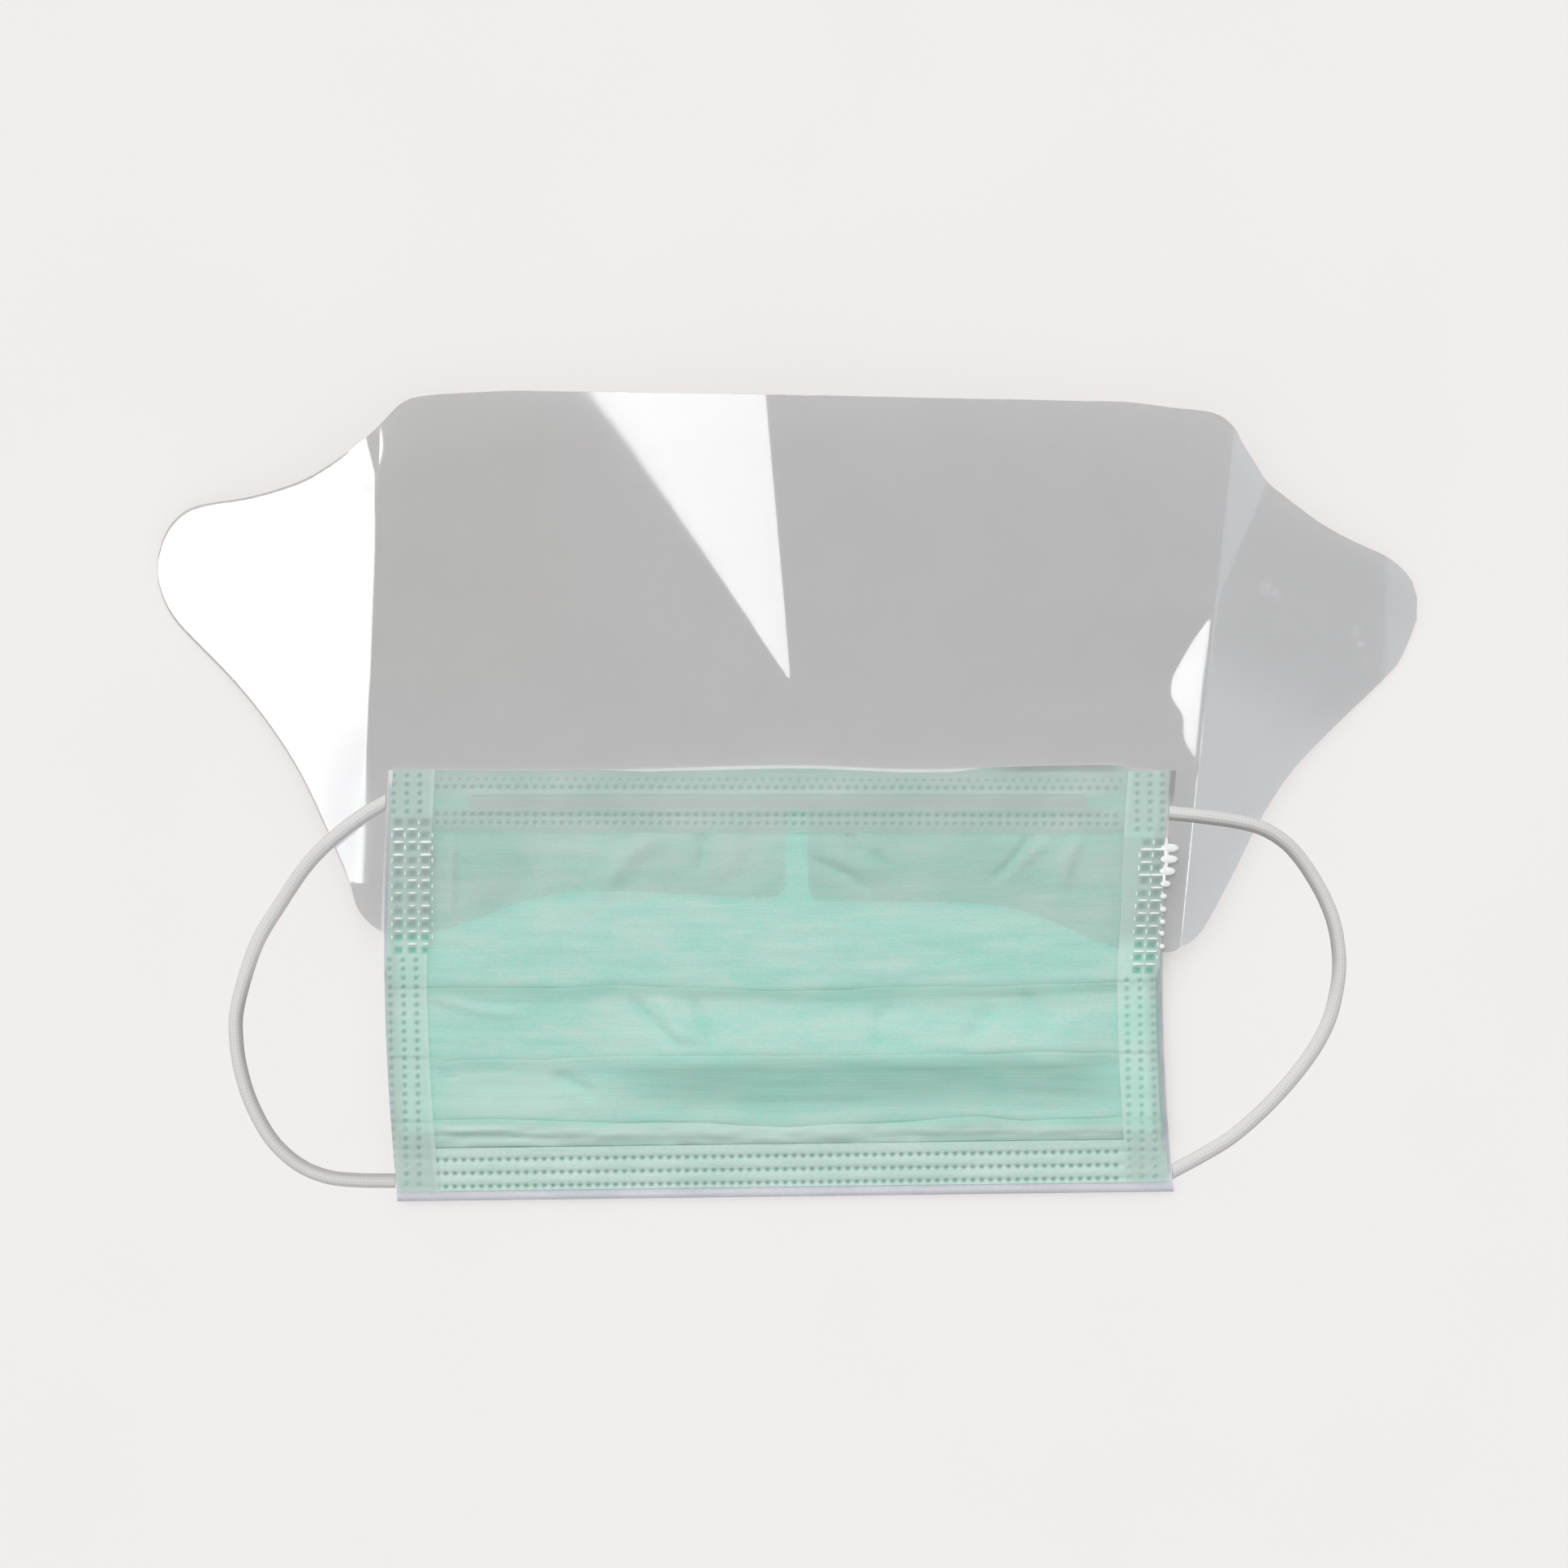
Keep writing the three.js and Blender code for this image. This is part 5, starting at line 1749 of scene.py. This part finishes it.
film_z = film_height(film_x, film_y)
upper_curl = 1 - smooth_step(edges[:, 1] - film_y, 0, EDGE_STEPS[2])
lower_curl = 1 - smooth_step(film_y - edges[:, 0], 0, EDGE_STEPS[2])
curl = smooth_step(-film_x, *EDGE_CURL["x"]) * (upper_curl + EDGE_CURL["lower"] * lower_curl)
film_z = film_z - EDGE_CURL["fall"] * curl
print(f"film from {film_z.min():.1f} to {film_z.max():.1f} mm above the table")

# %% [markdown]
# ## Visor: clear film
# Where the film hangs free it reads as a grey sheet over the pale table, and where it lies on the cloth
# only a light haze of it shows. So its alpha and its colour change at the mask's edges, which the finish
# works out from Object coordinates. Its gloss does the rest. Handling leaves faint smudges.

# %% Film finish
FREE_GREY = "#a4a5a5"
CLING_LIGHT = "#cfcdcb"
CLING_DARK = "#a09f9c"
FREE_ALPHA = 0.40
CLING_ALPHA = 0.14
MASK_LEFT_EDGE = {"at_top": -89.2, "lean": 0.050}
MASK_RIGHT_EDGE = {"at_top": 85.8, "lean": 0.055}
MASK_TOP_EDGE = 5.9
MASK_TOP_WAVES = [(-49, 2, 1.1), (2, 28, -0.9), (30, 68, 1.0), (73, 79, -1.2)]  # start, end and rise of each
CLING_SOFT = {"top": 0.15, "side": 0.3}  # half widths over which the film starts to cling
HAZE_SIZE = (16, 10, 14)
SPECK_SIZE = (1.6, 1.2, 1.6)
LOW_FILM_SHADE = (-21, -4)  # heights over which the film on the cloth is painted darker downwards: a painted shade
# painted bluish glare on the right wing
RIGHT_WING_GLARE = {"x": (89, 93), "lean": 0.1, "colour": "#a7aeb1", "share": 0.5}
DULL = {"x": (-75, -30), "y": (10, 45), "colour": "#9da19d", "share": 0.6}  # upper left of the free film
SMUDGE = {"colour": "#c6c8ca", "share": 0.5, "haze": 0.15, "fade": 1.3}
# Finger marks: middle and half widths in millimetres, and how strong each is
SMUDGES = [
    {"middle": (-36.5, 73.0), "half": (1.8, 3.2), "weight": 0.35},
    {"middle": (106.7, 46.6), "half": (1.6, 2.0), "weight": 1.2},
    {"middle": (109.3, 45.4), "half": (1.4, 1.6), "weight": 1.2},
    {"middle": (127.3, 36.9), "half": (1.3, 1.8), "weight": 1.2},
    {"middle": (128.5, 34.0), "half": (1.2, 1.6), "weight": 1.2},
]

film_material, graph, place = new_material("clear_film")
x, y, _ = graph.split(place)
mask_top = MASK_TOP_EDGE * MM
for low_x, high_x, rise in MASK_TOP_WAVES:
    mask_top = mask_top + rise * MM * graph.step(x, *in_metres((low_x, high_x)))
over_top = y - mask_top
left_edge = MASK_LEFT_EDGE["at_top"] * MM + MASK_LEFT_EDGE["lean"] * over_top
right_edge = MASK_RIGHT_EDGE["at_top"] * MM + MASK_RIGHT_EDGE["lean"] * over_top
top_span = in_metres((-CLING_SOFT["top"], CLING_SOFT["top"]))
side_span = in_metres((-CLING_SOFT["side"], CLING_SOFT["side"]))
clings = (
    (1 - graph.step(over_top, *top_span))
    * graph.step(x - left_edge, *side_span)
    * (1 - graph.step(x - right_edge, *side_span))
)
haze = graph.step(grain(graph, place, HAZE_SIZE, 3.0), 0.3, 0.7)
# the film on the cloth is painted darker towards its lower edge: painted shade
painted_low_shade = 1 - graph.step(y, *in_metres(LOW_FILM_SHADE))
cling_tint = graph.mix(0.5 * haze + 0.5 * painted_low_shade, screen_colour(CLING_LIGHT), screen_colour(CLING_DARK))
speck = graph.step(grain(graph, place, SPECK_SIZE, 3.0), 0.3, 0.6)
smudge = SMUDGE["haze"] * haze
for mark in SMUDGES:
    aside_x = (x - mark["middle"][0] * MM) / (mark["half"][0] * MM)
    aside_y = (y - mark["middle"][1] * MM) / (mark["half"][1] * MM)
    inside = 1 - graph.step(aside_x * aside_x + aside_y * aside_y, 0.0, SMUDGE["fade"])
    smudge = smudge + mark["weight"] * speck * inside
# painted bluish glare on the right wing
painted_wing_glare = graph.step(x - RIGHT_WING_GLARE["lean"] * y, *in_metres(RIGHT_WING_GLARE["x"]))
dull = (1 - graph.step(x, *in_metres(DULL["x"]))) * graph.step(y, *in_metres(DULL["y"]))
free_tint = screen_colour(FREE_GREY)
for shows, look in ((painted_wing_glare, RIGHT_WING_GLARE), (dull, DULL), (smudge, SMUDGE)):
    free_tint = graph.mix(look["share"] * shows, free_tint, screen_colour(look["colour"]))
film_sockets = {
    "Base Color": graph.mix(clings, free_tint, cling_tint),
    "Alpha": FREE_ALPHA + (CLING_ALPHA - FREE_ALPHA) * clings,
    "Roughness": 0.09 + 0.05 * smudge,
    "IOR": 1.57,
    "Specular IOR Level": 1.0,
}
set_surface(graph, film_sockets)
print("film alpha", FREE_ALPHA, "where it hangs free and", CLING_ALPHA, "on the cloth")

# %% Make the visor
film_grid = grid_surface("film_grid", film_x, film_y, film_z)
film_grid.data.materials.append(film_material)
visor = finish_ply(film_grid, "visor_sheet", "visor_film", FILM)
visor.visible_shadow = False
film_heights = edges[:, 1] - edges[:, 0]
film_area = float(sum(np.diff(columns) * (film_heights[1:] + film_heights[:-1]) / 2))

# %% [markdown]
# ## Sheets
# The two plies and the visor were cut from flat sheets. The mask's height is worked out below from its top
# and bottom edges. Hems and bands are strips that go with the pleated ply.

MASK_HEIGHT = top_y(0.5) - bottom_y(0.5)
MASK_HEIGHT * MM
